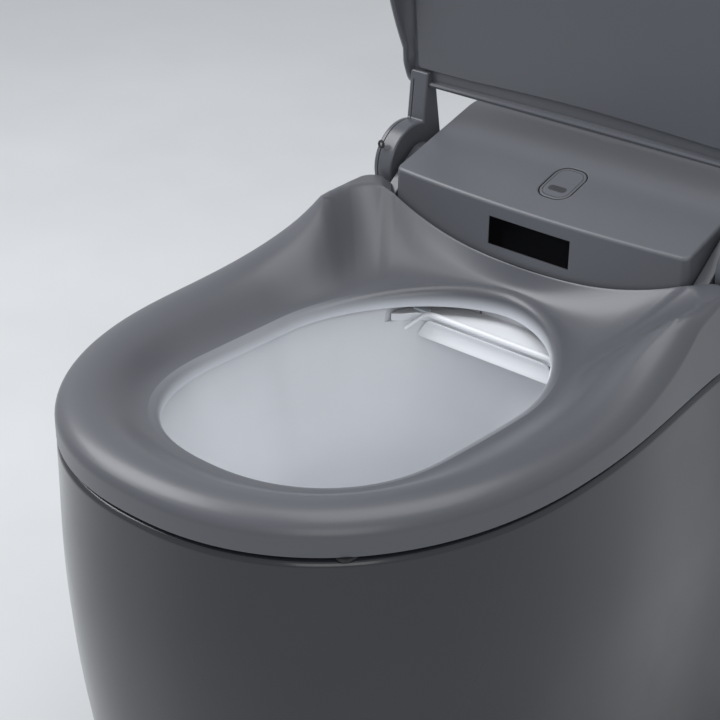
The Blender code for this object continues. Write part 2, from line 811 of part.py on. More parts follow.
def ray_hit(loop, centre, angle):
    """Where a ray from the centre first crosses a closed line."""
    dx, dy = math.cos(angle), math.sin(angle)
    best = None
    for i, (ax, ay) in enumerate(loop):
        bx, by = loop[(i + 1) % len(loop)]
        ex, ey = bx - ax, by - ay
        den = dx * ey - dy * ex
        if abs(den) < 1e-12:
            continue
        px, py = ax - centre[0], ay - centre[1]
        along = (px * ey - py * ex) / den
        share = (px * dy - py * dx) / den
        if along > 0 and -1e-9 <= share <= 1 + 1e-9:
            best = along if best is None else max(best, along)
    return Vector((centre[0] + dx * best, centre[1] + dy * best))


def station_angles():
    """Even steps round the seat, closer where the rear corners turn."""
    corner = math.degrees(math.atan2(SEAT_REAR - SEAT_CORNER - SEAT_CENTRE_Y, half_width(SEAT_REAR)))
    right = [-90 + 6 * i for i in range(1, 21)]
    right += [corner - 3, corner, corner + 2.5, corner + 5, corner + 9]
    right += [corner + 9 + (81 - corner) * i / 6 for i in range(1, 6)]
    right = sorted(set(a for a in right if -90 < a < 90))
    left = [180 - a for a in reversed(right)]
    return [math.radians(a) for a in [-90] + right + [90] + left]


def seat_sections():
    """For each ray: the inner point, the unit step outwards and the ring's width."""
    inner = egg(SEAT_OPEN_FRONT, SEAT_OPEN_REAR, SEAT_OPEN_HALF,
                SEAT_OPEN_MIDDLE_FRONT, SEAT_OPEN_MIDDLE_REAR, 20)
    outer = seat_outline()
    centre = (0, SEAT_CENTRE_Y)
    found = []
    for angle in station_angles():
        a = ray_hit(inner, centre, angle)
        b = ray_hit(outer, centre, angle)
        found.append((a, (b - a).normalized(), (b - a).length, b))
    return found


SURFACE_SHARES = (0.25, 0.5, 0.75)


def seat_profile(start, step, width, end):
    """The top of the seat from its opening to its outer edge, as (distance, height)."""
    side = ease((rear_line(end.x) - end.y) / CROWN_INSET)
    crown = rear_height(end.x) * (1 - side) + crown_height(end.y) * side
    inset = REAR_ROLL + (CROWN_INSET - REAR_ROLL) * side
    roll = REAR_ROLL + (CROWN_ROLL - REAR_ROLL) * side
    low = inner_height(start.y)
    points = [(0, low - INNER_ROUND * 0.85), (INNER_ROUND * 0.2, low - INNER_ROUND * 0.35),
              (INNER_ROUND * 0.55, low - INNER_ROUND * 0.08), (INNER_ROUND, low)]
    reach = width - inset - INNER_ROUND
    swoop = 2.0 - side * 0.75
    for share in SURFACE_SHARES:
        curve = share ** swoop
        rounded = curve * (1 - side) + side * (curve * 0.5 + ease(share) * 0.5)
        points.append((INNER_ROUND + reach * share, low + (crown - low) * rounded))
    for i in range(5):
        t = math.pi / 2 * i / 4
        points.append((width - inset + inset * math.sin(t), crown - roll * (1 - math.cos(t))))
    return points


def make_seat():
    rings, plate = [], []
    for start, step, width, end in seat_sections():
        section = [(0, -SEAT_LIP), *seat_profile(start, step, width, end),
                   (width, SEAT_GAP), (width - SEAT_SKIRT_WIDTH, SEAT_GAP),
                   (width - SEAT_SKIRT_WIDTH, SEAT_BASE_TOP),
                   (SEAT_LIP_WIDTH, SEAT_BASE_TOP), (SEAT_LIP_WIDTH, -SEAT_LIP)]
        rings.append([Vector((*(start + step * d), z)) for d, z in section])
        inner = SEAT_LIP_WIDTH + FIT_GAP
        outer = width - SEAT_SKIRT_WIDTH - FIT_GAP
        under = [(inner, SEAT_GAP), (outer, SEAT_GAP),
                 (outer, SEAT_BASE_TOP - FIT_GAP), (inner, SEAT_BASE_TOP - FIT_GAP)]
        plate.append([Vector((*(start + step * d), z)) for d, z in under])
    seat = skin("seat", rings, SEAT_GREY, around=True)
    base = skin("seat_base", plate, SEAT_GREY, around=True)
    made = []
    for side in (-1, 1):
        tag = "left" if side < 0 else "right"
        low, high = sorted((side * LUG_INNER, side * LUG_OUTER))
        lug = prism("seat_lug_" + tag, lug_outline(), 0, low, high, SEAT_GREY)
        hole = rod("seat_lug_hole_" + tag, (side * LUG_INNER - side * CUT_OVER, AXIS_Y, AXIS_Z),
                   (side, 0, 0), LUG_OUTER - LUG_INNER + 2 * CUT_OVER,
                   PIN_RADIUS + PIN_CLEARANCE, SEAT_GREY, ROUND_SMALL)
        join(seat, lug)
        cut(seat, hole)
        made += [lug, hole]
        for row, (x, y) in (("front", BUFFER_FRONT), ("back", BUFFER_BACK)):
            pad = prism(f"seat_buffer_{row}_{tag}",
                        rounded_box(side * x, y, BUFFER_WIDTH / 2, BUFFER_LENGTH / 2,
                                    BUFFER_WIDTH / 2 - FIT_GAP, 4),
                        2, FIT_GAP, SEAT_GAP - FIT_GAP, RUBBER)
            settle([pad], AXIS)
    settle([seat, base] + made, AXIS)


def lug_outline():
    """The seat's hinge arm seen from the side: a root in the seat and a round eye."""
    points = [(LUG_START, LUG_ROOT_LOW), (LUG_START, LUG_ROOT_TOP)]
    count = 14
    for i in range(count + 1):
        t = math.radians(115) - math.radians(250) * i / count
        points.append((AXIS_Y + LUG_RADIUS * math.cos(t), AXIS_Z + LUG_RADIUS * math.sin(t)))
    return points


def lid_top(y):
    return LID_FRONT_TOP + LID_SLOPE * y + LID_CURVE * y * y


def lid_rim_low(x, y):
    """The lowest line of the lid's wall, just above the seat's crown."""
    side = ease((LID_REAR - y) / CROWN_INSET)
    return (lid_top(y) - LID_REAR_EDGE) * (1 - side) + (crown_height(y) + LID_SEAT_GAP) * side


def lid_outline():
    quarter = oval_quarter(HALF_WIDTH + LID_MARGIN, FRONT_LENGTH + LID_MARGIN, OUTLINE_POWER,
                           24, TIP_SHARE)
    right = [(x, FRONT_LENGTH - y) for x, y in quarter]
    end = LID_REAR - SEAT_CORNER
    for i in range(1, 11):
        y = FRONT_LENGTH + (end - FRONT_LENGTH) * i / 10
        right.append((half_width(y) + LID_MARGIN, y))
    edge = half_width(end) + LID_MARGIN - SEAT_CORNER / 2
    right.append((edge, LID_REAR))
    for i in range(1, 9):
        right.append((edge * (1 - i / 8), LID_REAR))
    return mirrored(right)


RADIAL_SHARES = (0.2, 0.42, 0.62, 0.8)


def lid_levels(end):
    """Rings from the middle of the top, over the edge, under the wall and back inside.

    Each is a share of the way out, a step past that and a drop below the top.
    """
    rim = lid_rim_low(end.x, end.y)
    top = lid_top(end.y)
    edge = min(LID_EDGE_ROUND, (top - rim) * 0.8)
    levels = [(share, 0, 0) for share in RADIAL_SHARES]
    for i in range(4):
        t = math.pi / 2 * i / 3
        levels.append((1, -edge + edge * math.sin(t), edge * (1 - math.cos(t))))
    levels.append((1, 0, top - rim))
    levels.append((1, -LID_WALL, top - rim))
    levels.append((1, -LID_WALL, max(edge, LID_SHELL + FIT_GAP)))
    levels.append((1, -max(edge, LID_WALL + FIT_GAP), LID_SHELL))
    levels += [(share, 0, LID_SHELL) for share in reversed(RADIAL_SHARES)]
    return levels


def make_lid():
    centre = (0, LID_CENTRE_Y)
    outline = lid_outline()
    columns, plates = [], []
    for angle in station_angles():
        end = ray_hit(outline, centre, angle)
        step = (end - Vector(centre)).normalized()
        width = (end - Vector(centre)).length
        column = []
        for share, shift, drop in lid_levels(end):
            spot = Vector(centre) + step * (width * share + shift)
            column.append(Vector((*spot, lid_top(spot.y) - drop)))
        columns.append(column)
        reach = width - LID_LINER_INSET - LID_WALL
        if step.y > 0:
            reach = min(reach, (ARM_ROOT_Y - RUNNING_GAP - LID_CENTRE_Y) / step.y)
        plates.append((step, reach))
    rings = [list(level) for level in zip(*columns)]
    poles = (Vector((*centre, lid_top(LID_CENTRE_Y))),
             Vector((*centre, lid_top(LID_CENTRE_Y) - LID_SHELL)))
    lid = skin("lid", rings, LID_GREY, poles=poles)
    under = LID_SHELL + FIT_GAP
    top_rings, low_rings = [], []
    for share in (0.25, 0.5, 0.75, 1.0):
        spots = [Vector(centre) + step * (reach * share) for step, reach in plates]
        top_rings.append([Vector((*s, lid_top(s.y) - under)) for s in spots])
        low_rings.append([Vector((*s, lid_top(s.y) - under - LID_LINER_THICKNESS)) for s in spots])
    level = lid_top(LID_CENTRE_Y) - under
    liner = skin("lid_liner", top_rings + list(reversed(low_rings)), LID_GREY,
                 poles=(Vector((*centre, level)), Vector((*centre, level - LID_LINER_THICKNESS))))
    made = []
    for side in (-1, 1):
        tag = "left" if side < 0 else "right"
        low, high = sorted((side * ARM_INNER, side * ARM_OUTER))
        arm = prism("lid_arm_" + tag, arm_outline(), 0, low, high, LID_GREY)
        hole = rod("lid_arm_hole_" + tag, (side * (ARM_INNER - CUT_OVER), AXIS_Y, AXIS_Z),
                   (side, 0, 0), PIN_OUTER + PIN_CLEARANCE - ARM_INNER + CUT_OVER,
                   PIN_RADIUS + PIN_CLEARANCE, LID_GREY, ROUND_SMALL)
        join(lid, arm)
        cut(lid, hole)
        made += [arm, hole]
        stop = turned("lid_stop_" + tag,
                      (side * STOP_X, AXIS_Y - STOP_BACK, AXIS_Z - ARM_RADIUS - FIT_GAP),
                      (0, 0, -1),
                      [(0, STOP_HOLE), (0, STOP_RADIUS), (STOP_HEIGHT * 0.6, STOP_RADIUS),
                       (STOP_HEIGHT, STOP_RADIUS * 0.7), (STOP_HEIGHT, STOP_HOLE)],
                      RUBBER, ROUND_SMALL)
        settle([stop], AXIS, -OPEN)
    settle([lid, liner] + made, AXIS, -OPEN)


def arm_outline():
    """A lid arm seen from the side when closed: the root, the round end and a front that turns
    about the hinge, so that it clears the seat at every angle."""
    points = [(ARM_ROOT_Y, ARM_ROOT_TOP - ARM_RADIUS * 0.3), (ARM_ROOT_Y, ARM_ROOT_TOP)]
    count = 12
    for i in range(count + 1):
        t = math.radians(100) - math.radians(190) * i / count
        points.append((AXIS_Y + ARM_RADIUS * math.cos(t), AXIS_Z + ARM_RADIUS * math.sin(t)))
    reach = AXIS_Y - SEAT_REAR + SEAT_REAR_BOW - ARM_SEAT_GAP
    start = math.asin(ARM_RADIUS / reach)
    end = math.asin((AXIS_Z - ARM_STEP_Z) / reach)
    steps = 5
    for i in range(steps + 1):
        t = math.pi + start + (end - start) * i / steps
        points.append((AXIS_Y + reach * math.cos(t), AXIS_Z + reach * math.sin(t)))
    return points


def cover_top(y):
    """The cover's top line: a straight slope that eases into a crest and falls at the back."""
    slope = math.tan(math.radians(COVER_SLOPE_DEGREES))
    run = min(y, COVER_CREST_Y) - COVER_FRONT_TOP
    height = COVER_TOP_FRONT + slope * run
    over = y - COVER_CREST_Y
    if over > 0:
        height += slope * COVER_CREST_EASE * 0.5 * ease(over / COVER_CREST_EASE)
        height -= COVER_BACK_DROP * ease((over - COVER_CREST_EASE) / COVER_CREST_EASE)
    return height


def cover_outline(inset, front):
    """The cover's plan, its front slightly bowed."""
    half = COVER_HALF - inset
    back = COVER_BACK - inset
    right = []
    count = 8
    for i in range(count + 1):
        x = (half - COVER_FRONT_CORNER) * i / count
        right.append((x, front + inset + COVER_FRONT_BOW * (x / COVER_HALF) ** 2))
    start = right[-1][1]
    for i in range(1, 5):
        t = math.pi / 2 * i / 4
        right.append((half - COVER_FRONT_CORNER + COVER_FRONT_CORNER * math.sin(t),
                      start + COVER_FRONT_CORNER * (1 - math.cos(t))))
    radius = COVER_BACK_CORNER - inset
    for i in range(1, 6):
        right.append((half, start + COVER_FRONT_CORNER
                      + (back - radius - start - COVER_FRONT_CORNER) * i / 6))
    for i in range(7):
        t = math.pi / 2 * i / 6
        right.append((half - radius + radius * math.cos(t), back - radius + radius * math.sin(t)))
    right.append((0, back))
    return mirrored(right)


def cover_solid(name, inset, low, look):
    """The cover's outer form, or its hollow when an inset is given."""
    bottom = cover_outline(inset, COVER_FRONT_LOW)
    top = cover_outline(inset, COVER_FRONT_TOP)
    centre = Vector((0, (COVER_FRONT_TOP + COVER_BACK) / 2))
    rings = [at_height(bottom, low)]
    drop = COVER_EDGE * 0.9
    rings.append([Vector((x, y, cover_top(y) - inset - drop)) for x, y in top])
    edge = COVER_EDGE * 0.3
    tucked = [Vector(p) + (centre - Vector(p)).normalized() * edge for p in top]
    rings.append([Vector((*p, cover_top(p.y) - inset - edge)) for p in tucked])
    tucked = [Vector(p) + (centre - Vector(p)).normalized() * COVER_EDGE for p in top]
    rings.append([Vector((*p, cover_top(p.y) - inset)) for p in tucked])
    for share in (0.75, 0.5, 0.25):
        spots = [centre + (p - centre) * share for p in tucked]
        rings.append([Vector((*p, cover_top(p.y) - inset)) for p in spots])
    return skin(name, rings, look, poles=(
        Vector((*centre, low)), Vector((*centre, cover_top(centre.y) - inset))))


def front_face_y(z):
    share = (z - COVER_LOW) / (COVER_TOP_FRONT - COVER_LOW)
    return COVER_FRONT_LOW + (COVER_FRONT_TOP - COVER_FRONT_LOW) * share


def window_outline(gap, depth_in, depth_out):
    """A slab that leans with the cover's front, as (y, z)."""
    low, high = WINDOW_LOW - gap, WINDOW_TOP + gap
    return [(front_face_y(low) + depth_out, low), (front_face_y(high) + depth_out, high),
            (front_face_y(high) + depth_in, high), (front_face_y(low) + depth_in, low)]


def make_cover():
    cover = cover_solid("top_cover", 0, COVER_LOW, COVER_GREY)
    hollow = cover_solid("cover_hollow", COVER_WALL, COVER_LOW - CUT_OVER, COVER_GREY)
    hole = prism("cover_window_hole", window_outline(FIT_GAP, CUT_OVER, -CUT_OVER), 0,
                 -WINDOW_HALF - FIT_GAP, WINDOW_HALF + FIT_GAP, COVER_GREY)
    button_hole = slanted("cover_button_hole", (
        (BUTTON_GAP, -CUT_OVER), (BUTTON_GAP, CUT_OVER)), COVER_GREY)
    cut(cover, hollow, hole, button_hole)
    made = [hollow, hole, button_hole]
    for side in (-1, 1):
        tag = "left" if side < 0 else "right"
        bore = rod("cover_shaft_hole_" + tag,
                   (side * (COVER_HALF - CUT_OVER), AXIS_Y, AXIS_Z), (side, 0, 0),
                   2 * CUT_OVER, PIN_RADIUS + 2 * PIN_CLEARANCE, COVER_GREY, ROUND_SMALL)
        cut(cover, bore)
        made.append(bore)
    window = prism("sensor_window", window_outline(0, WINDOW_THICKNESS + WINDOW_RECESS,
                                                   WINDOW_RECESS),
                   0, -WINDOW_HALF, WINDOW_HALF, BLACK_GLOSS)
    settle([cover, window] + made)
    under = -COVER_WALL - BUTTON_GAP
    button = slanted("top_button", (
        (-BUTTON_ROUND, -BUTTON_FLOAT), (0, -BUTTON_FLOAT - BUTTON_ROUND), (0, under),
        (BUTTON_LIP, under), (BUTTON_LIP, -BUTTON_THICKNESS)), COVER_GREY)
    settle([button], button_centre())


def slanted(name, levels, look):
    """A rounded block square to the cover's slope, from pairs of (growth, height)."""
    slope = math.radians(COVER_SLOPE_DEGREES)
    forward = Vector((0, math.cos(slope), math.sin(slope)))
    normal = Vector((0, -math.sin(slope), math.cos(slope)))
    centre = button_centre()
    rings = []
    for grow, level in levels:
        outline = rounded_box(0, 0, BUTTON_HALF + grow, BUTTON_HALF_LENGTH + grow,
                              BUTTON_CORNER + grow, 5)
        rings.append([
            centre + Vector((x, 0, 0)) + forward * y + normal * level for x, y in outline
        ])
    return skin(name, rings, look)


def button_centre():
    return Vector((0, BUTTON_Y, cover_top(BUTTON_Y)))


def make_tray():
    """The fixed tray: a floor between two side pods."""
    outline = [
        (-TRAY_HALF, FIT_GAP), (TRAY_HALF, FIT_GAP), (TRAY_HALF, TRAY_TOP),
        (TRAY_POD_INNER, TRAY_TOP), (TRAY_POD_INNER, TRAY_FLOOR),
        (-TRAY_POD_INNER, TRAY_FLOOR), (-TRAY_POD_INNER, TRAY_TOP), (-TRAY_HALF, TRAY_TOP),
    ]
    tray = prism("base_tray", outline, 1, TRAY_FRONT, TRAY_BACK, COVER_GREY)
    opening = block("tray_opening",
                    ((TRAY_OPENING_RIGHT - TRAY_OPENING_LEFT) / 2,
                     (TRAY_FRONT + TRAY_OPENING_BACK - CUT_OVER) / 2, TRAY_FLOOR / 2),
                    (TRAY_OPENING_LEFT + TRAY_OPENING_RIGHT,
                     TRAY_OPENING_BACK - TRAY_FRONT + CUT_OVER, TRAY_FLOOR + CUT_OVER),
                    COVER_GREY)
    slot = block("tray_filter_slot",
                 ((FILTER_INNER - FILTER_CLEARANCE + TRAY_HALF + CUT_OVER) / 2, FILTER_Y,
                  (FILTER_LOW + FILTER_TOP) / 2),
                 (TRAY_HALF + CUT_OVER - FILTER_INNER + FILTER_CLEARANCE,
                  2 * FILTER_HALF_LENGTH + 2 * FILTER_CLEARANCE,
                  FILTER_TOP - FILTER_LOW + 2 * FILTER_CLEARANCE), COVER_GREY)
    cut(tray, opening, slot)
    made = [opening, slot]
    for side in (-1, 1):
        tag = "left" if side < 0 else "right"
        hole = rod("tray_bolt_hole_" + tag, (side * DECK_BOLT_SPACING, DECK_BOLT_Y, -CUT_OVER),
                   (0, 0, 1), TRAY_FLOOR + 2 * CUT_OVER, BOLT_RADIUS + FIT_GAP, COVER_GREY,
                   ROUND_SMALL)
        cut(tray, hole)
        made.append(hole)
    for name, x, radius in (("water", INLET_X, INLET_RADIUS), ("power", POWER_X, POWER_RADIUS)):
        hole = rod("tray_hole_" + name, (x, INLET_Y, -CUT_OVER), (0, 0, 1),
                   TRAY_FLOOR + 2 * CUT_OVER, radius + FIT_GAP, COVER_GREY)
        cut(tray, hole)
        made.append(hole)
    for i, y in enumerate(SIDE_BUTTON_YS):
        hole = rod(f"tray_button_hole_{i}", (SIDE_BUTTON_X, y, TRAY_TOP + CUT_OVER), (0, 0, -1),
                   CUT_OVER + SIDE_BUTTON_HEIGHT, SIDE_BUTTON_RADIUS + FIT_GAP, COVER_GREY)
        cut(tray, hole)
        made.append(hole)
    settle([tray] + made)
    for i, (tag, y) in enumerate(zip(("front", "rear"), SIDE_BUTTON_YS)):
        start = Vector((SIDE_BUTTON_X, y, TRAY_TOP + SIDE_BUTTON_PROUD))
        button = rod("side_button_" + tag, start, (0, 0, -1), SIDE_BUTTON_HEIGHT - RUNNING_GAP,
                     SIDE_BUTTON_RADIUS, WHITE, ROUND, FIT_GAP)
        settle([button], start)


def make_hinges():
    for side in (-1, 1):
        tag = "left" if side < 0 else "right"
        shaft = rod("hinge_shaft_" + tag, (side * PIN_INNER, AXIS_Y, AXIS_Z), (side, 0, 0),
                    PIN_OUTER - PIN_INNER, PIN_RADIUS, STEEL, ROUND_SMALL, FIT_GAP)
        low, high = sorted((side * BRACKET_INNER, side * BRACKET_OUTER))
        outline = [
            (AXIS_Y - BRACKET_HALF_LENGTH, TRAY_FLOOR + FIT_GAP),
            (AXIS_Y + BRACKET_HALF_LENGTH, TRAY_FLOOR + FIT_GAP),
        ]
        count = 8
        for i in range(count + 1):
            t = math.pi * i / count
            outline.append((AXIS_Y + DAMPER_FLANGE * math.cos(t),
                            AXIS_Z + DAMPER_FLANGE * math.sin(t)))
        plate = prism("hinge_bracket_" + tag, outline, 0, low, high, STEEL)
        foot = block("bracket_foot_" + tag,
                     (side * (BRACKET_INNER - BRACKET_FOOT / 2 + CUT_OVER / 5), AXIS_Y,
                      TRAY_FLOOR + FIT_GAP + BRACKET_FOOT_THICKNESS / 2),
                     (BRACKET_FOOT + CUT_OVER / 5, 2 * BRACKET_HALF_LENGTH,
                      BRACKET_FOOT_THICKNESS), STEEL)
        hole = rod("bracket_hole_" + tag, (side * (BRACKET_INNER - CUT_OVER), AXIS_Y, AXIS_Z),
                   (side, 0, 0), BRACKET_OUTER - BRACKET_INNER + 2 * CUT_OVER,
                   PIN_RADIUS + FIT_GAP, STEEL, ROUND_SMALL)
        join(plate, foot)
        cut(plate, hole)
        damper = turned("damper_" + tag,
                        (side * (BRACKET_INNER - FIT_GAP), AXIS_Y, AXIS_Z), (-side, 0, 0),
                        [(0, PIN_RADIUS + FIT_GAP), (0, DAMPER_FLANGE),
                         (DAMPER_FLANGE_LENGTH, DAMPER_FLANGE),
                         (DAMPER_FLANGE_LENGTH, DAMPER_RADIUS), (DAMPER_LENGTH, DAMPER_RADIUS),
                         (DAMPER_LENGTH, PIN_RADIUS + FIT_GAP)], BLACK)
        settle([shaft, plate, foot, hole, damper])


def housing_under(y):
    """The height of the nozzle housing's sloping underside."""
    return SPRAY_Z + (y - SPRAY_Y) * math.tan(SPRAY) - HOUSING_UNDER / math.cos(SPRAY)


def along_spray(distance, up=0.0, side=0.0):
    """A point on the nozzles' line: forwards is positive, from the splash edge."""
    return SPRAY_POINT + SPRAY_DIR * distance + SPRAY_UP * up + Vector((side, 0, 0))


def make_nozzles():
    back = HOUSING_BACK_RUN
    rise = math.tan(SPRAY)
    front_low = (HOUSING_FRONT, housing_under(HOUSING_FRONT))
    rear_low = along_spray(-back, -HOUSING_UNDER)
    rear_top = along_spray(-back, HOUSING_OVER)
    meet = rear_top.y - (rear_top.z - SHELF_TOP) / rise
    housing = prism("nozzle_housing", [
        front_low, (rear_low.y, rear_low.z), (rear_top.y, rear_top.z), (meet, SHELF_TOP),
        (HOUSING_FRONT, SHELF_TOP),
    ], 0, -HOUSING_HALF, HOUSING_HALF, WHITE)
    right = [(0, SHELF_FRONT)] + [(SHELF_HALF * a, SHELF_SIDE_Y + SHELF_DEPTH * b)
                                  for a, b in SHELF_SHARES] + [(0, SHELF_BACK)]
    shelf = prism("housing_shelf", mirrored(right), 2, SHELF_BOTTOM, SHELF_TOP, WHITE)
    ridge = block("housing_ridge", (0, (RIDGE_FRONT + RIDGE_BACK) / 2 + FIT_GAP,
                                    (RIDGE_TOP + SHELF_BOTTOM) / 2),
                  (2 * RIDGE_HALF, RIDGE_BACK - RIDGE_FRONT, RIDGE_TOP - SHELF_BOTTOM), WHITE,
                  0.0012, 2)
    chin = prism("housing_chin", [
        (SHELF_FRONT + RUNNING_GAP, SHELF_BOTTOM + FIT_GAP), (SHELF_FRONT + RUNNING_GAP, CHIN_LOW),
        (CHIN_BACK, CHIN_LOW), (CHIN_BACK + 0.004, SHELF_BOTTOM + FIT_GAP * 2),
    ], 0, -CHIN_HALF, CHIN_HALF, WHITE)
    join(housing, shelf, ridge, chin)
    made = [shelf, ridge, chin]
    for tag, side in (("left", -NOZZLE_SPREAD), ("right", NOZZLE_SPREAD)):
        bore = rod("housing_bore_" + tag, along_spray(CUT_OVER, 0, side), -SPRAY_DIR,
                   back + 3 * CUT_OVER, NOZZLE_RADIUS + NOZZLE_CLEARANCE, WHITE)
        cut(housing, bore)
        made.append(bore)
    duct_hole = block("housing_duct_hole",
                      (DUCT_X, SHELF_FRONT, DUCT_OUT_Z),
                      (2 * (DUCT_HALF - DUCT_WALL), 0.040, 2 * (DUCT_TALL - DUCT_WALL)), WHITE)
    cut(housing, duct_hole)
    made.append(duct_hole)
    lens_pocket = block("housing_lens_pocket", (-LENS_X, LENS_Y, SHELF_TOP),
                        (2 * LENS_HALF + 2 * FIT_GAP, LENS_LENGTH + 2 * FIT_GAP,
                         2 * (LENS_THICKNESS - 0.0008)), WHITE)
    cut(housing, lens_pocket)
    made.append(lens_pocket)
    settle([housing] + made)
    lens = block("night_light_lens",
                 (-LENS_X, LENS_Y, SHELF_TOP + FIT_GAP - LENS_THICKNESS / 2 + 0.0008),
                 (2 * LENS_HALF, LENS_LENGTH, LENS_THICKNESS), LENS, 0.0005, 2)
    settle([lens])
    for name, side in (("rear_nozzle", -NOZZLE_SPREAD), ("front_nozzle", NOZZLE_SPREAD)):
        start = along_spray(-NOZZLE_BACK_SET, 0, side)
        arm = turned(name, start, -SPRAY_DIR, [
            (0, 0), (0, NOZZLE_RADIUS * 0.55), (NOZZLE_RADIUS * 0.25, NOZZLE_RADIUS * 0.85),
            (NOZZLE_RADIUS * 0.6, NOZZLE_RADIUS), (NOZZLE_LENGTH, NOZZLE_RADIUS),
            (NOZZLE_LENGTH, 0)], WHITE, ROUND_SMALL)
        jets = []
        for i, spot in enumerate(NOZZLE_JET_SETS):
            jet = rod(f"{name}_jet_{i}", start - SPRAY_DIR * spot + SPRAY_UP * NOZZLE_RADIUS * 1.5,
                      -SPRAY_UP, NOZZLE_RADIUS * 0.5 + NOZZLE_JET_DEPTH, NOZZLE_JET, WHITE, 10)
            jets.append(jet)
        cut(arm, *jets)
        settle([arm] + jets, start)
    drive = block("nozzle_drive", (0, 0, 0),
                  (2 * HOUSING_HALF - 0.006, DRIVE_LENGTH, DRIVE_RISE * 2), BLACK, 0.0010, 2)
    centre = along_spray(-back * 0.72, HOUSING_OVER + DRIVE_RISE + FIT_GAP)
    drive.data.transform(Matrix.Translation(centre) @ Matrix.Rotation(SPRAY, 4, "X"))
    settle([drive])
    make_flap()


def make_flap():
    """The guard: a thin plate, slightly bowed towards the bowl, on a round top edge."""
    outline = []
    low, high = FLAP_LOW, FLAP_TOP
    steps = 5
    hinge_y = FLAP_BACK - FLAP_THICKNESS / 2
    for i in range(steps + 1):
        t = i / steps
        outline.append((FLAP_BACK - FLAP_THICKNESS - FLAP_BULGE * math.sin(math.pi * t),
                        high + (low - high) * t))
    for i in range(steps + 1):
        t = 1 - i / steps
        outline.append((FLAP_BACK - FLAP_BULGE * math.sin(math.pi * t) * 0.8,
                        high + (low - high) * t))
    flap = prism("guard_flap", outline, 0, -FLAP_HALF, FLAP_HALF, WHITE, 0.0006, 2)
    settle([flap], (0, hinge_y, FLAP_TOP))


def make_equipment():
    middle = (WINDOW_LOW + WINDOW_TOP) / 2
    eye = front_face_y(middle - EYE_SIZE[2] / 2) + WINDOW_RECESS + WINDOW_THICKNESS + FIT_GAP
    board_y = eye + EYE_SIZE[1]
    board_top = cover_top(board_y) - COVER_WALL - 2 * FIT_GAP
    board = block("circuit_board", (0, board_y, (BOARD_LOW + board_top) / 2),
                  (2 * BOARD_HALF, BOARD_THICKNESS, board_top - BOARD_LOW), BOARD)
    sensor = block("board_sensor", (0, eye + EYE_SIZE[1] / 2, middle), EYE_SIZE, BLACK)
    join(board, sensor)
    settle([board, sensor])
    floor = TRAY_FLOOR + FIT_GAP
    heater = block("water_heater", (HEATER_X, HEATER_Y, floor + HEATER_SIZE[2] / 2), HEATER_SIZE,
                   HEAT, 0.004, 3)
    settle([heater])
    pump = rod("pump", (PUMP_X - PUMP_LENGTH / 2, PUMP_Y, floor + PUMP_RADIUS), (1, 0, 0),
               PUMP_LENGTH, PUMP_RADIUS, BLACK, ROUND, 0.002)
    settle([pump])
    valve = block("solenoid_valve", (VALVE_X, VALVE_Y, floor + VALVE_SIZE[2] / 2), VALVE_SIZE,
                  WHITE, 0.002, 2)
    coil = rod("valve_coil", (VALVE_X, VALVE_Y, floor + VALVE_SIZE[2] - CUT_OVER / 5), (0, 0, 1),
               VALVE_COIL_HEIGHT, VALVE_COIL, WHITE, ROUND, 0.001)
    join(valve, coil)
    settle([valve, coil])
    top = floor + INLET_FLANGE_THICKNESS
    inlet = turned("water_inlet", (INLET_X, INLET_Y, top), (0, 0, -1), [
        (0, INLET_BORE), (0, INLET_FLANGE), (INLET_FLANGE_THICKNESS, INLET_FLANGE),
        (INLET_FLANGE_THICKNESS, INLET_RADIUS), (INLET_LENGTH - 0.001, INLET_RADIUS),
        (INLET_LENGTH, INLET_RADIUS - 0.001), (INLET_LENGTH, INLET_BORE)], BRASS)
    gland = turned("power_inlet", (POWER_X, INLET_Y, top), (0, 0, -1), [
        (0, POWER_BORE), (0, POWER_FLANGE), (INLET_FLANGE_THICKNESS, POWER_FLANGE),
        (INLET_FLANGE_THICKNESS, POWER_RADIUS), (POWER_LENGTH * 0.7, POWER_RADIUS),
        (POWER_LENGTH, POWER_RADIUS * 0.7), (POWER_LENGTH, POWER_BORE)], BLACK)
    settle([inlet, gland])
    make_fan()
    cassette = block("filter_cassette",
                     ((FILTER_INNER + TRAY_HALF) / 2, FILTER_Y, (FILTER_LOW + FILTER_TOP) / 2),
                     (TRAY_HALF - FILTER_INNER, 2 * FILTER_HALF_LENGTH, FILTER_TOP - FILTER_LOW),
                     COVER_GREY, 0.0008, 2)
    vents = []
    for i in range(4):
        y = FILTER_Y - FILTER_HALF_LENGTH * 0.6 + FILTER_HALF_LENGTH * 0.4 * i
        vents.append(block(f"filter_vent_{i}", (TRAY_HALF, y, (FILTER_LOW + FILTER_TOP) / 2),
                           (0.008, 0.0024, (FILTER_TOP - FILTER_LOW) * 0.6), COVER_GREY))
    cut(cassette, *vents)
    settle([cassette] + vents, (TRAY_HALF, FILTER_Y, (FILTER_LOW + FILTER_TOP) / 2))


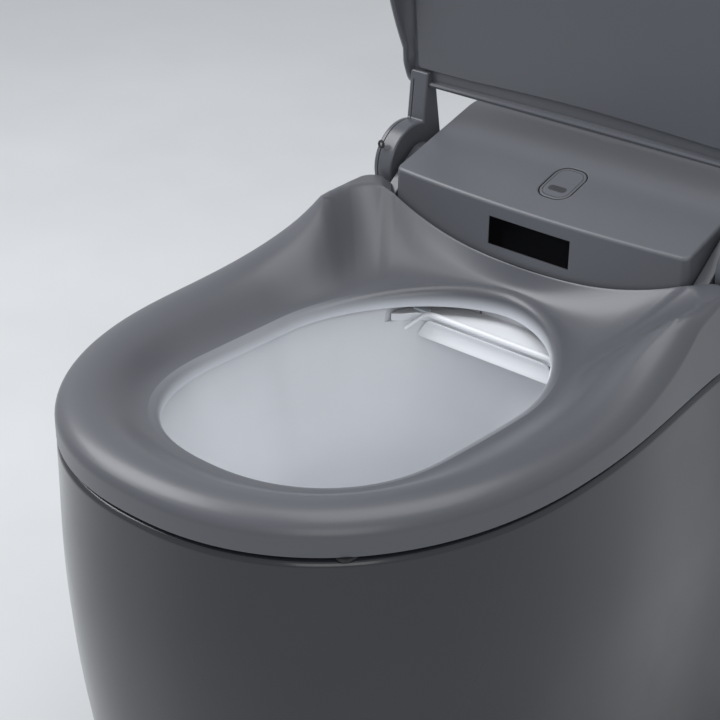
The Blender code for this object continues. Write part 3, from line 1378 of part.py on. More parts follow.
def make_fan():
    left = FAN_X - FAN_HALF
    centre = Vector((left, FAN_Y, FAN_Z))
    x = Vector((1, 0, 0))
    width = 2 * FAN_HALF
    inner = FAN_RADIUS - FAN_WALL
    case = turned("fan_housing", centre, x, [
        (0, MOTOR_SHAFT + FIT_GAP), (0, FAN_RADIUS), (width, FAN_RADIUS), (width, FAN_EYE),
        (width - FAN_WALL, FAN_EYE), (width - FAN_WALL, inner), (FAN_WALL, inner),
        (FAN_WALL, MOTOR_SHAFT + FIT_GAP)], BLACK, 32)
    foot = block("fan_foot", (FAN_X, FAN_Y, (TRAY_FLOOR + FIT_GAP + FAN_Z - FAN_RADIUS) / 2
                              + FAN_WALL / 2),
                 (width * 0.7, 0.030, FAN_Z - FAN_RADIUS - TRAY_FLOOR - FIT_GAP + FAN_WALL), BLACK)
    mouth = block("fan_mouth", (FAN_X, FAN_Y - FAN_RADIUS * 0.8, FAN_Z - FAN_RADIUS * 0.52),
                  (width - 2 * FAN_WALL - 0.008, FAN_RADIUS, 0.018), BLACK)
    join(case, foot)
    cut(case, mouth)
    settle([case, foot, mouth])
    middle = centre + x * FAN_HALF
    hub = turned("fan_impeller", middle - x * IMPELLER_HALF, x, [
        (0, 0), (0, IMPELLER_RADIUS), (IMPELLER_DISC, IMPELLER_RADIUS),
        (IMPELLER_DISC, IMPELLER_HUB), (IMPELLER_HALF, IMPELLER_HUB * 0.8),
        (IMPELLER_HALF * 1.2, 0)], WHITE, 32)
    blades = []
    count = 12
    for i in range(count):
        t = 2 * math.pi * i / count
        out = Vector((0, math.cos(t), math.sin(t)))
        around = Vector((0, -math.sin(t), math.cos(t)))
        corners = []
        for r, lean in ((IMPELLER_BLADE_IN, 0.0), (IMPELLER_RADIUS - IMPELLER_BLADE, 0.006)):
            for half in (-IMPELLER_BLADE / 2, IMPELLER_BLADE / 2):
                corners.append(middle + out * r + around * (lean + half))
        a, b, c, d = corners
        low = x * (IMPELLER_DISC * 0.5 - IMPELLER_HALF)
        high = x * IMPELLER_HALF * 0.9
        blade = skin(f"impeller_blade_{i}", [[p + low for p in (a, b, d, c)],
                                             [p + high for p in (a, b, d, c)]], WHITE)
        blades.append(blade)
        join(hub, blade)
    settle([hub] + blades, middle)
    motor = turned("fan_motor", centre - x * (FIT_GAP + MOTOR_LENGTH), x, [
        (0, 0), (0, MOTOR_RADIUS - 0.001), (0.001, MOTOR_RADIUS), (MOTOR_LENGTH, MOTOR_RADIUS),
        (MOTOR_LENGTH, MOTOR_SHAFT),
        (MOTOR_LENGTH + FAN_HALF - IMPELLER_HALF, MOTOR_SHAFT),
        (MOTOR_LENGTH + FAN_HALF - IMPELLER_HALF, 0)], STEEL)
    settle([motor])
    make_duct()


def make_duct():
    """A flat pipe from the fan's mouth to the outlet behind the guard."""
    start = Vector((FAN_X, FAN_Y - FAN_RADIUS - FIT_GAP, FAN_Z - FAN_RADIUS * 0.52))
    end = Vector((DUCT_X, CHIN_BACK + 0.004 + FIT_GAP, DUCT_OUT_Z))
    path = [start, start + Vector((0, -0.012, 0)), Vector((FAN_X - 0.012, 0.452, 0.024)),
            Vector((DUCT_X + 0.004, 0.428, 0.010)), Vector((DUCT_X, 0.404, -0.008)),
            Vector((DUCT_X, 0.386, DUCT_OUT_Z)), end]
    def ring(spot, i, half, tall):
        before = path[max(i - 1, 0)]
        after = path[min(i + 1, len(path) - 1)]
        d = (after - before).normalized()
        up = Vector((1, 0, 0)).cross(d).normalized() * -1
        side = d.cross(up)
        return [spot + side * a * half + up * b * tall
                for a, b in ((-1, -1), (1, -1), (1, 1), (-1, 1))]
    duct = skin("dryer_duct", [ring(p, i, DUCT_HALF, DUCT_TALL) for i, p in enumerate(path)],
                WHITE)
    ahead = (path[0] - path[1]).normalized() * CUT_OVER
    behind = (path[-1] - path[-2]).normalized() * CUT_OVER
    longer = [path[0] + ahead] + path[1:-1] + [path[-1] + behind]
    bore = skin("duct_bore", [
        ring(p, i, DUCT_HALF - DUCT_WALL, DUCT_TALL - DUCT_WALL)
        for i, p in enumerate(longer)], WHITE)
    cut(duct, bore)
    settle([duct, bore])


def make_fixings():
    for side in (-1, 1):
        tag = "left" if side < 0 else "right"
        head = TRAY_FLOOR + FIT_GAP + BOLT_HEAD_HEIGHT
        bolt = turned("mounting_bolt_" + tag, (side * DECK_BOLT_SPACING, DECK_BOLT_Y, head),
                      (0, 0, -1), [
                          (0, 0), (0, BOLT_HEAD - 0.001), (0.001, BOLT_HEAD),
                          (BOLT_HEAD_HEIGHT, BOLT_HEAD), (BOLT_HEAD_HEIGHT, BOLT_RADIUS),
                          (BOLT_LENGTH, BOLT_RADIUS), (BOLT_LENGTH, 0)], STEEL, ROUND_SMALL)
        settle([bolt])
        floor = -RIM_HEIGHT
        wall = half_width(SIDE_HOLE_Y) - PAN_WALL - SKIRT_FOOT_INSET - FIT_GAP
        x = side * (wall - FOOT_THICKNESS / 2)
        foot = block("floor_bracket_" + tag, (x, SIDE_HOLE_Y, floor + FIT_GAP + FOOT_HEIGHT / 2),
                     (FOOT_THICKNESS, FOOT_LENGTH, FOOT_HEIGHT), STEEL)
        flange = block("foot_flange_" + tag,
                       (x - side * (FOOT_WIDTH / 2 - FOOT_THICKNESS / 2), SIDE_HOLE_Y,
                        floor + FIT_GAP + FOOT_THICKNESS / 2),
                       (FOOT_WIDTH, FOOT_LENGTH, FOOT_THICKNESS), STEEL)
        hole = rod("foot_hole_" + tag, (x - side * CUT_OVER, SIDE_HOLE_Y, floor + SIDE_HOLE_UP),
                   (side, 0, 0), 2 * CUT_OVER, SIDE_BOLT_RADIUS + FIT_GAP, STEEL, ROUND_SMALL)
        join(foot, flange)
        cut(foot, hole)
        face = skirt_half(SIDE_HOLE_Y, floor + SIDE_HOLE_UP) + 2 * FIT_GAP
        start = Vector((side * (face + SIDE_HEAD_HEIGHT), SIDE_HOLE_Y, floor + SIDE_HOLE_UP))
        screw = turned("side_bolt_" + tag, start, (-side, 0, 0), [
            (0, 0), (0, SIDE_BOLT_HEAD), (SIDE_HEAD_HEIGHT, SIDE_BOLT_HEAD),
            (SIDE_HEAD_HEIGHT, SIDE_BOLT_RADIUS), (SIDE_BOLT_LENGTH, SIDE_BOLT_RADIUS),
            (SIDE_BOLT_LENGTH, 0)], STEEL, ROUND_SMALL)
        inside = FIT_GAP + CAP_THICKNESS
        depth = inside + SIDE_HEAD_HEIGHT
        cap = turned("side_cap_" + tag, start + Vector((side * inside, 0, 0)), (-side, 0, 0), [
            (0, 0), (0, CAP_RADIUS - CAP_THICKNESS), (CAP_THICKNESS * 0.3, CAP_RADIUS - 0.0005),
            (CAP_THICKNESS, CAP_RADIUS), (depth, CAP_RADIUS),
            (depth, CAP_RADIUS - CAP_THICKNESS), (CAP_THICKNESS, CAP_RADIUS - CAP_THICKNESS),
            (CAP_THICKNESS, 0)], CERAMIC, ROUND_SMALL)
        settle([foot, flange, hole, screw, cap])
    end = DEPTH - SPIGOT_BACK
    sleeve = turned("waste_sleeve", (0, end - SLEEVE_LENGTH + 0.010, -SPIGOT_DROP), (0, 1, 0), [
        (0, SPIGOT_OUTER + FIT_GAP), (0, SPIGOT_OUTER + SLEEVE_WALL + 0.002),
        (0.004, SPIGOT_OUTER + SLEEVE_WALL + 0.002), (0.005, SPIGOT_OUTER + SLEEVE_WALL),
        (SLEEVE_LENGTH, SPIGOT_OUTER + SLEEVE_WALL), (SLEEVE_LENGTH, SPIGOT_OUTER + FIT_GAP)],
        RUBBER, 32)
    seal = turned("flush_seal", (0, DEPTH - FLUSH_BACK + FIT_GAP, -FLUSH_DROP), (0, -1, 0), [
        (0, FLUSH_BORE - SEAL_WALL), (-0.004, FLUSH_BORE - SEAL_WALL + 0.001),
        (-0.004, FLUSH_BORE + SEAL_LIP - 0.001), (0, FLUSH_BORE + SEAL_LIP),
        (0, FLUSH_BORE - FIT_GAP * 2), (SEAL_LENGTH, FLUSH_BORE - FIT_GAP * 2),
        (SEAL_LENGTH, FLUSH_BORE - SEAL_WALL)], RUBBER, 32)
    settle([sleeve, seal])


clear_scene()
make_pan()
make_passages()
make_seat()
make_lid()
make_cover()
make_tray()
make_hinges()
make_nozzles()
make_equipment()
make_fixings()
bpy.context.view_layer.update()
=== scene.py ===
"""Smart toilet: fine surfaces, materials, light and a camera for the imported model.

Metres, +Z up. Shapes are drawn in the pan's own frame, whose origin is the front tip of the rim
at rim height, and are moved to the floor when they are placed on their bodies.
"""

import json
import math

import bmesh
import bpy
from mathutils import Matrix, Vector


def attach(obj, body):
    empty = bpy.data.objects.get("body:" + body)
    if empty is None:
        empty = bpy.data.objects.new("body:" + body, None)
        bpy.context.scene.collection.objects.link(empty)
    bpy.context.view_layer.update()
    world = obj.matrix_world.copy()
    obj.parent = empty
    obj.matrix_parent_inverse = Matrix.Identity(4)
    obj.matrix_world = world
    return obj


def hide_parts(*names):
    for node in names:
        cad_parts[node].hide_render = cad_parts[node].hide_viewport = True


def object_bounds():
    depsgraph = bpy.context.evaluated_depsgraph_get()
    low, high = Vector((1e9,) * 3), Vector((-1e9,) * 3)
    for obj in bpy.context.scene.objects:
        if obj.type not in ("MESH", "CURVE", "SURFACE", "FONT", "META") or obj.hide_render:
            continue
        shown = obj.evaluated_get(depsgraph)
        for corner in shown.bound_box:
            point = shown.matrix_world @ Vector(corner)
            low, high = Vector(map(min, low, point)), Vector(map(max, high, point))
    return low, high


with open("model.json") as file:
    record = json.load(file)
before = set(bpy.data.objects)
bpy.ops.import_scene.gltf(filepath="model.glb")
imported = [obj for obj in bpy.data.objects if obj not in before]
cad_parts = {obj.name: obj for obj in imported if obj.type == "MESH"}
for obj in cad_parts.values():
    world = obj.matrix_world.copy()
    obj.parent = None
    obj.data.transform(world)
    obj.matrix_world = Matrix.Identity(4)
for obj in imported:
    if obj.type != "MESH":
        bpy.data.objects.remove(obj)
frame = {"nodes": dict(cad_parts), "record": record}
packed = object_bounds()

# Overall sizes
DEPTH = 0.600
RIM_HEIGHT = 0.405
HALF_WIDTH = 0.187
FRONT_LENGTH = 0.225
OUTLINE_POWER = 2.25
EGG_REAR_POWER = 1.8
TIP_SHARE = 1.15
TAPER_START = 0.230
TAPER_END = 0.455
SIDE_TAPER = 0.0195
REAR_HALF = HALF_WIDTH - SIDE_TAPER
RUNNING_GAP = 0.0015
AXIS_Y = 0.450
AXIS_Z = 0.067
TRAY_TOP = 0.033
FIT_GAP = 0.0003
CUT_OVER = 0.010

# Pan
RIM_ROUND = 0.005
SKIRT_BULGE = 0.002
SKIRT_BULGE_DROP = 0.110
# Each row: share of the way down, then of the foot's recede and of its inset
SKIRT_SHARES = ((0.55, 0.12, 0.3), (0.80, 0.45, 0.7), (1.0, 1.0, 1.0))
SKIRT_FOOT_RECEDE = 0.060
SKIRT_FOOT_INSET = 0.012
SKIRT_CORNER = 0.007
PAN_WALL = 0.014
DECK_THICKNESS = 0.028
BACK_CAVITY_HALF = 0.115
BACK_CAVITY_TOP = 0.040
BOWL_FRONT = 0.058
BOWL_REAR = 0.387
BOWL_HALF = 0.1135
BOWL_WALL = 0.013
BOWL_LIP = 0.004
BOWL_MIDDLE_FRONT = 0.175
BOWL_MIDDLE_REAR = 0.245
SUMP_FRONT = 0.212
SUMP_REAR = 0.292
SUMP_HALF = 0.036
BOWL_DEPTH = 0.290
BOWL_POWERS = (2.2, 1.1)
BOWL_STEP_POWER = 0.9
BOWL_REAR_SHARE = 0.2
TRAP_BORE = 0.034
TRAP_OUTER = 0.046
SPIGOT_OUTER = 0.051
SPIGOT_LENGTH = 0.060
SPIGOT_DROP = 0.220
SPIGOT_BACK = 0.020
TRAP_START = (0.250, -0.262)
TRAP_DIP = (0.322, -0.336)
TRAP_CREST = (0.418, -0.205)
TRAP_BEND = 0.062
FLUSH_BORE = 0.026
FLUSH_OUTER = 0.036
FLUSH_DROP = 0.085
FLUSH_TURN_Y = 0.428
FLUSH_TURN_BEND = 0.045
FLUSH_OUTLET = (0.062, 0.322)
FLUSH_FALL = 0.014
FLUSH_NARROW = 0.011
FLUSH_BACK = 0.022
POCKET_HALF = 0.054
POCKET_FRONT = 0.372
CHIN_ROOM_LOW = -0.0222
RECESS_FRONT = 0.330
# Points of its plan, as shares of the shelf's half width and depth
RECESS_SHARES = ((0.955, -0.18), (0.955, 0.30), (0.80, 0.83), (0.46, 1.05), (0, 1.05))

# Seat
SEAT_GAP = 0.0025
SEAT_OPEN_FRONT = 0.068
SEAT_OPEN_REAR = 0.378
SEAT_OPEN_HALF = 0.105
SEAT_OPEN_MIDDLE_FRONT = 0.175
SEAT_OPEN_MIDDLE_REAR = 0.250
SEAT_CENTRE_Y = 0.225
SEAT_REAR = 0.3985
SEAT_REAR_BOW = 0.0045
SEAT_CORNER = 0.012
SEAT_LIP_HEIGHT = 0.0015
SEAT_LIP_WIDTH = 0.005
SEAT_BASE_TOP = 0.0066
SEAT_SKIRT_WIDTH = 0.0038
SEAT_EDGE = 0.0010
INNER_TOP = 0.0105
INNER_FRONT_RISE = 0.0035
INNER_REAR_RISE = 0.0095
INNER_REACH = 0.160
INNER_ROUND = 0.008
INNER_DROP = 0.0068
CROWN_FRONT = 0.0288
CROWN_SIDE_RISE = 0.0009
CROWN_SIDE_RUN = 0.220
CROWN_REAR_RISE = 0.0329
CROWN_RISE_START = 0.172
CROWN_RISE_LENGTH = 0.191
CROWN_RISE_POWER = 3.0
# Degrees from the side towards the rear between which each form of the crown eases out
CREST_TURN = (38, 52)
RISE_TURN = (20, 62)
ROLL_TURN = (30, 50)
CLIMB_POWERS = (2.0, 1.25)
CLIMB_EASE_POWER = 0.9
EDGE_RUN = 0.0032
BEND_SHARE = 0.72
INNER_WALL_ROWS = 9
SMOOTH_CORNER = 0.045
CROWN_INSET = 0.022
CROWN_ROLL = 0.014
REAR_ROLL = 0.003
REAR_LINE_MIDDLE = 0.0351
REAR_LINE_RISE = 0.0135
REAR_LINE_REACH = 0.105
REAR_LINE_POWER = 2.4
REAR_LINE_TOP = 0.064
LUG_RADIUS = 0.017
LUG_ROUND_DEGREES = (115, -135)
LUG_EDGE = 0.001
LUG_START = 0.395
LUG_ROOT_LOW = 0.020
LUG_ROOT_TOP = 0.045

# Hinge line
PIN_RADIUS = 0.005
PIN_CLEARANCE = 0.0003
HINGE_GAP = 0.002
ARM_THICKNESS = 0.018
LUG_THICKNESS = 0.011
ARM_OUTER = REAR_HALF
ARM_INNER = ARM_OUTER - ARM_THICKNESS
LUG_OUTER = ARM_INNER - HINGE_GAP
LUG_INNER = LUG_OUTER - LUG_THICKNESS
PIN_OUTER = ARM_OUTER - HINGE_GAP
ARM_RADIUS = AXIS_Z - TRAY_TOP - RUNNING_GAP
LID_SEAT_GAP = 0.003
EAR_REAR = AXIS_Y - ARM_RADIUS - LID_SEAT_GAP
LID_OPEN_DEGREES = 98.0

# Lid, drawn closed
LID_MARGIN = 0.0015
LID_REAR = 0.390
LID_FRONT_TOP = 0.046
LID_SLOPE = 0.050
LID_CURVE = 0.108
LID_CENTRE_Y = 0.205
LID_SHELL = 0.005
LID_WALL = 0.006
LID_EDGE_ROUND = 0.012
LID_REAR_EDGE = 0.010
LID_LINER_THICKNESS = 0.003
LID_LINER_INSET = 0.010
ARM_STEP = 0.0035
ARM_ROOT_DROP = 0.0098
ARM_ROOT_Y = 0.378
ARM_ROOT_TOP = 0.0790
ARM_ROUND = 0.0022
ARM_ROUND_START = 100
ARM_GROOVE_X = 0.1632
ARM_GROOVE_WIDTH = 0.0009
ARM_GROOVE_DEPTH = 0.0012

# Cover of the wash unit
COVER_HALF = LUG_INNER - HINGE_GAP
COVER_FRONT_TOP = 0.401
COVER_FRONT_LOW = 0.400
COVER_FRONT_BOW = 0.005
COVER_TOP_FRONT = 0.077
COVER_SLOPE_DEGREES = 17.3
COVER_CREST_Y = 0.500
COVER_CREST_EASE = 0.040
COVER_BACK = 0.590
COVER_BACK_DROP = 0.010
COVER_LIFT = 0.0005
COVER_LOW = TRAY_TOP + COVER_LIFT
COVER_FRONT_CORNER = 0.006
COVER_BACK_CORNER = 0.036
COVER_EDGE = 0.0025
COVER_WALL = 0.003
APRON_HALF = 0.1245
APRON_LOW = 0.0060
APRON_FRONT = 0.545
WINDOW_HALF = 0.037
WINDOW_LOW = 0.044
WINDOW_TOP = 0.066
WINDOW_THICKNESS = 0.0026
WINDOW_RECESS = 0.0004
WINDOW_EDGE = 0.0004
BUTTON_Y = 0.442
BUTTON_HALF = 0.0138
BUTTON_HALF_LENGTH = 0.0185
BUTTON_CORNER = 0.0105
BUTTON_MIDDLE_SHARE = 0.8
BUTTON_GAP = 0.0009
BUTTON_THICKNESS = 0.0052
BUTTON_FLOAT = 0.0002
BUTTON_ROUND = 0.0007
BUTTON_LIP = 0.0018
BUTTON_RING = 0.0019
GROOVE_WIDTH = 0.0006
GROOVE_DEPTH = 0.0006
MARK_HALF = 0.0078
MARK_HALF_LENGTH = 0.0031
MARK_FORWARD = 0.0072
MARK_PROUD = 0.00015

# Nozzle unit
SPRAY_DEGREES = 28.0
SPRAY_Y = 0.352
SPRAY_Z = -0.0345
NOZZLE_RADIUS = 0.0062
NOZZLE_CLEARANCE = 0.0006
NOZZLE_SPREAD = 0.0125
NOZZLE_LENGTH = 0.138
NOZZLE_BACK_SET = 0.024
NOSE_SHARE = 0.6
NOSE_POWER = 0.6
NOZZLE_JET = 0.0008
NOZZLE_JET_DEPTH = 0.002
NOZZLE_JET_SETS = (0.006, 0.0088, 0.0116)
HOUSING_HALF = 0.0290
HOUSING_UNDER = 0.0105
HOUSING_OVER = 0.0082
HOUSING_FRONT = 0.3705
HOUSING_BACK_RUN = 0.150
HOUSING_EDGE = 0.0012
SHELF_HALF = 0.086
SHELF_FRONT = 0.3555
SHELF_SIDE_Y = 0.338
SHELF_DEPTH = 0.0435
SHELF_BACK = 0.3815
SHELF_TOP = -0.0062
SHELF_BOTTOM = -0.0125
SHELF_EDGE = 0.0022
# Points of its plan, as shares of its half width and depth
SHELF_SHARES = ((0.66, 0.40), (0.86, 0.08), (0.93, 0.0), (0.90, 0.28), (0.76, 0.76), (0.42, 1.0))
BEAD_RADIUS = 0.0027
BEAD_BEND = 0.007
BEAD_LINE = ((-0.0674, 0.3416, -0.0158), (-0.0602, 0.3568, -0.0070), (-0.020, 0.3568, -0.0070))
ROOF_FRONT = 0.3848
ROOF_BACK = 0.4020
ROOF_TOP = -0.0012
CHIN_HALF = 0.052
CHIN_BACK = 0.3660
CHIN_SLANT = 0.004
CHIN_LOW = -0.0215
FLAP_HALF = 0.057
FLAP_TOP = -0.0100
FLAP_LOW = -0.0235
FLAP_BACK = 0.3552
FLAP_THICKNESS = 0.0022
FLAP_CURL = 0.0042
FLAP_CURL_POWER = 2.5
FLAP_TOP_CURL_SHARE = 0.3
FLAP_TOP_CURL_RUN = 2.2
FLAP_FLARE = 0.0065
FLAP_CORNER = 0.0045
FLAP_CORNER_SHARES = (0.95, 0.15)
LENS_X = 0.066
LENS_HALF = 0.007
LENS_THICKNESS = 0.0030
LENS_LENGTH = 0.006
LENS_Y = 0.3585
LENS_SEAT = 0.0008
DUCT_HALF = 0.009
DUCT_TALL = 0.0045
DUCT_WALL = 0.0014
DUCT_X = 0.040
DUCT_OUT_Z = -0.0178

# Steps along a plan's front quarter, side and rear corner, and round a turned piece
PAN_STEPS = (40, 21, 6)
SEAT_STEPS = (160, 60, 16)
ROUND = 64

# Where the middle point of a small round edge lies between its two ends
MID_ROUND_SHARE = 0.3

# Degrees between the stations round the seat, and how they lie near its rear corners and ears
STATION_STEP = 2.0
CORNER_STATIONS = (-4, 12)
EAR_SPLIT = 0.05
EAR_CLEAR = 0.2

# Slack where a ray meets an outline
PARALLEL = 1e-12
SHARE_SLACK = 1e-9

# Edges of the pieces that stay
WELD_REACH = 0.00001
FRAME_EDGE = 0.0004

FLOOR_SHIFT = Vector((0, -DEPTH / 2, RIM_HEIGHT))
AXIS = Vector((0, AXIS_Y, AXIS_Z))
SEAT_CENTRE = Vector((0, SEAT_CENTRE_Y))
LID_CENTRE = Vector((0, LID_CENTRE_Y))
SPRAY = math.radians(SPRAY_DEGREES)
SPRAY_DIR = Vector((0, -math.cos(SPRAY), -math.sin(SPRAY)))
SPRAY_UP = Vector((0, -math.sin(SPRAY), math.cos(SPRAY)))
SPRAY_POINT = Vector((0, SPRAY_Y, SPRAY_Z))
OPEN_LID = (Matrix.Translation(AXIS) @ Matrix.Rotation(-math.radians(LID_OPEN_DEGREES), 4, "X")
            @ Matrix.Translation(-AXIS))


# Materials

RIPPLE_DEPTH = 0.0005
GRAIN_DEPTH = 0.00004
BRUSH_DEPTH = 0.00008
RUBBER_DEPTH = 0.00012
TRACK_DEPTH = 0.0001

# Shares of a surface's middle tone or roughness, at its ends or in its marks
CLOUD_SHARE = 0.05
GLAZE_SHARES = (0.82, 1.25)
MOULDED_SHARES = (0.9, 1.1)
METAL_SHARES = (0.75, 1.35)
TARNISH_SHARE = 0.82
SPECK_SHARE = 2.1
BOARD_SHARES = (0.8, 1.8)

# Places of the colour sockets in a mix node
MIX_FIRST, MIX_SECOND, MIX_RESULT = 6, 7, 2


def shaded(colour, share):
    return tuple(min(c * share, 1.0) for c in colour)


class Finish:
    """A node material built up step by step from object coordinates."""

    def __init__(self, name):
        self.material = bpy.data.materials.new(name)
        self.material.use_nodes = True
        self.tree = self.material.node_tree
        self.shader = self.tree.nodes["Principled BSDF"]
        self.place = self.tree.nodes.new("ShaderNodeTexCoord").outputs["Object"]
        self.normal = None

    def feed(self, node, inputs):
        """Gives each input of a node a value, a colour or the output of another node."""
        for key, value in inputs.items():
            socket = node.inputs[key]
            if isinstance(value, bpy.types.NodeSocket):
                self.tree.links.new(value, socket)
            else:
                socket.default_value = (*value, 1.0) if socket.type == "RGBA" else value

    def node(self, kind, output, inputs, **settings):
        """Adds a node and returns one of its outputs."""
        made = self.tree.nodes.new(kind)
        for key, value in settings.items():
            setattr(made, key, value)
        self.feed(made, inputs)
        return made.outputs[output]

    def noise(self, scale, detail, stretch=None):
        spot = self.place
        if stretch:
            spot = self.node("ShaderNodeMapping", "Vector", {"Scale": stretch, "Vector": spot})
        return self.node("ShaderNodeTexNoise", "Fac",
                         {"Scale": scale, "Detail": detail, "Vector": spot})

    def ranged(self, value, low, high, start=0.22, end=0.78):
        """Spreads a value's run from start to end over the run from low to high."""
        return self.node("ShaderNodeMapRange", "Result",
                         {"Value": value, "From Min": start, "From Max": end, "To Min": low,
                          "To Max": high}, interpolation_type="SMOOTHSTEP")

    def worn(self, value, rough, shares, *ends):
        """A roughness that changes with a value between two shares of its middle."""
        return self.ranged(value, rough * shares[0], rough * shares[1], *ends)

    def mixed(self, factor, first, second):
        """A colour between two, which are colours or outputs of other nodes."""
        return self.node("ShaderNodeMix", MIX_RESULT, {"Factor": factor, MIX_FIRST: first,
                                                       MIX_SECOND: second}, data_type="RGBA")

    def clouded(self, factor, colour):
        """A colour that turns a little darker and lighter in soft clouds."""
        return self.mixed(factor, shaded(colour, 1 - CLOUD_SHARE), shaded(colour, 1 + CLOUD_SHARE))

    def bump(self, height, strength, distance):
        inputs = {"Height": height, "Strength": strength, "Distance": distance}
        if self.normal:
            inputs["Normal"] = self.normal
        self.normal = self.node("ShaderNodeBump", "Normal", inputs)
        return self.set(normal=self.normal)

    def set(self, **values):
        """Sets inputs of the shader, with an underscore for each space in their names."""
        self.feed(self.shader, {key.replace("_", " ").title().replace("Ior", "IOR"): value
                                for key, value in values.items()})
        return self


def glaze(name, colour, rough):
    """Fired glaze: a deep gloss with soft clouding, a faint ripple and a fine grain."""
    made = Finish(name)
    made.set(base_color=made.clouded(made.ranged(made.noise(7, 4), 0, 1), colour),
             roughness=made.worn(made.noise(18, 3), rough, GLAZE_SHARES),
             coat_weight=0.20, coat_roughness=0.08)
    made.bump(made.noise(30, 1), 0.05, RIPPLE_DEPTH)
    return made.bump(made.noise(240, 1), 0.05, GRAIN_DEPTH)


def moulded(name, colour, rough, grain=240, strength=0.08):
    """Moulded plastic: a fine grain, slight clouding and rubbed patches."""
    made = Finish(name)
    made.set(base_color=made.clouded(made.noise(9, 2), colour),
             roughness=made.worn(made.noise(14, 1), rough, MOULDED_SHARES, 0, 1))
    return made.bump(made.noise(grain, 1), strength, GRAIN_DEPTH)


def seat_plastic(name):
    return moulded(name, SEAT_GREY, 0.36).set(coat_weight=0.12, coat_roughness=0.20)


def seat_wall_painted_light(name):
    """The seat's plastic with painted light: paler towards the lower edge of its opening, as if
    the night light in the bowl lit it.
    """
    made = seat_plastic(name)
    height = made.node("ShaderNodeSeparateXYZ", "Z", {"Vector": made.place})
    # painted light: the wall's colour turns pale towards its lower edge, where light from the bowl
    # would fall
    level = made.ranged(height, 1, 0, *PAINTED_LIGHT_LEVELS)
    cloud = made.clouded(made.noise(9, 2), SEAT_GREY)
    return made.set(base_color=made.mixed(level, cloud, SEAT_WALL_PAINTED_LIGHT))


def metal(name, colour, rough, stretch):
    """Brushed or turned metal: fine lines along one direction and a little tarnish."""
    made = Finish(name)
    lines = made.noise(900, 2, stretch)
    tarnish = made.ranged(made.noise(40, 5), 0, 1)
    made.set(base_color=made.mixed(tarnish, shaded(colour, TARNISH_SHARE), colour),
             metallic=1.0, roughness=made.worn(lines, rough, METAL_SHARES))
    return made.bump(lines, 0.12, BRUSH_DEPTH)


def rubber(name, colour):
    """Black rubber with fine pale specks and a matt, coarse skin."""
    made = Finish(name)
    speck = made.ranged(made.noise(420, 4), 0, 1, 0.45, 0.75)
    made.set(base_color=made.mixed(speck, colour, shaded(colour, SPECK_SHARE)),
             roughness=made.ranged(made.noise(60, 4), 0.62, 0.86))
    return made.bump(made.noise(1100, 3), 0.25, RUBBER_DEPTH)


def circuit(name, colour):
    """Solder mask over tracks: raised lines in two directions with bright pads."""
    made = Finish(name)
    tracks = made.node("ShaderNodeTexBrick", "Fac",
                       {"Vector": made.place, "Scale": 90, "Mortar Size": 0.03})
    pads = made.node("ShaderNodeTexVoronoi", "Distance", {"Vector": made.place, "Scale": 260})
    masked = made.mixed(tracks, *(shaded(colour, share) for share in BOARD_SHARES))
    made.set(base_color=made.mixed(made.ranged(pads, 1, 0, 0.10, 0.16), masked, PAD_GOLD),
             roughness=made.ranged(made.noise(80, 3), 0.32, 0.5))
    return made.bump(tracks, 0.3, TRACK_DEPTH)


# Colours

CERAMIC_GREY = (0.021, 0.023, 0.028)
# Painted light: this pale glaze inside the bowl paints the glow of the night light on what is the
# same grey glaze as the outside
BOWL_GLAZE_PAINTED_LIGHT = (0.70, 0.715, 0.745)
SEAT_GREY = (0.088, 0.092, 0.105)
# Painted light: the seat's inner wall turns to this pale colour below the lower of these two
# heights, and back to grey above the higher
SEAT_WALL_PAINTED_LIGHT = (0.62, 0.64, 0.68)
PAINTED_LIGHT_LEVELS = (0.4055, 0.4195)
LID_GREY = (0.088, 0.093, 0.106)
COVER_GREY = (0.105, 0.110, 0.124)
UNIT_WHITE = (0.74, 0.755, 0.785)
PAD_GOLD = (0.55, 0.42, 0.18)

MATERIALS = {
    "ceramic": glaze("grey_glaze", CERAMIC_GREY, 0.20),
    "bowl": glaze("bowl_glaze_painted_light", BOWL_GLAZE_PAINTED_LIGHT, 0.14),
    "seat_plastic": seat_plastic("seat_grey"),
    # the seat's inner wall, with painted light from the bowl
    "seat_wall": seat_wall_painted_light("seat_grey_wall_painted_light"),
    "lid_plastic": moulded("lid_grey", LID_GREY, 0.30),
    "cover_plastic": moulded("cover_grey", COVER_GREY, 0.36, 260),
    "window": moulded("window_black", (0.0008, 0.0008, 0.0012), 0.12, 2500, 0.01).set(
        specular_ior_level=0.06),
    "mark": moulded("mark_grey", (0.030, 0.031, 0.036), 0.4, 1800, 0.05),
    "white_plastic": moulded("unit_white", UNIT_WHITE, 0.30, 1700, 0.05),
    "lens": moulded("lens_white", (0.82, 0.90, 1.0), 0.22, 1900, 0.03),
    "rubber": rubber("black_rubber", (0.018, 0.018, 0.020)),
    "steel": metal("brushed_steel", (0.56, 0.57, 0.59), 0.30, (1, 1, 0.04)),
    "brass": metal("turned_brass", (0.62, 0.45, 0.18), 0.30, (0.05, 0.05, 1)),
    "black_plastic": moulded("black_moulding", (0.018, 0.019, 0.021), 0.48, 1200, 0.12),
    "board": circuit("green_board", (0.020, 0.115, 0.050)),
    "heater_shell": moulded("heater_grey", (0.33, 0.34, 0.36), 0.5, 900, 0.15),
}


# Shape helpers

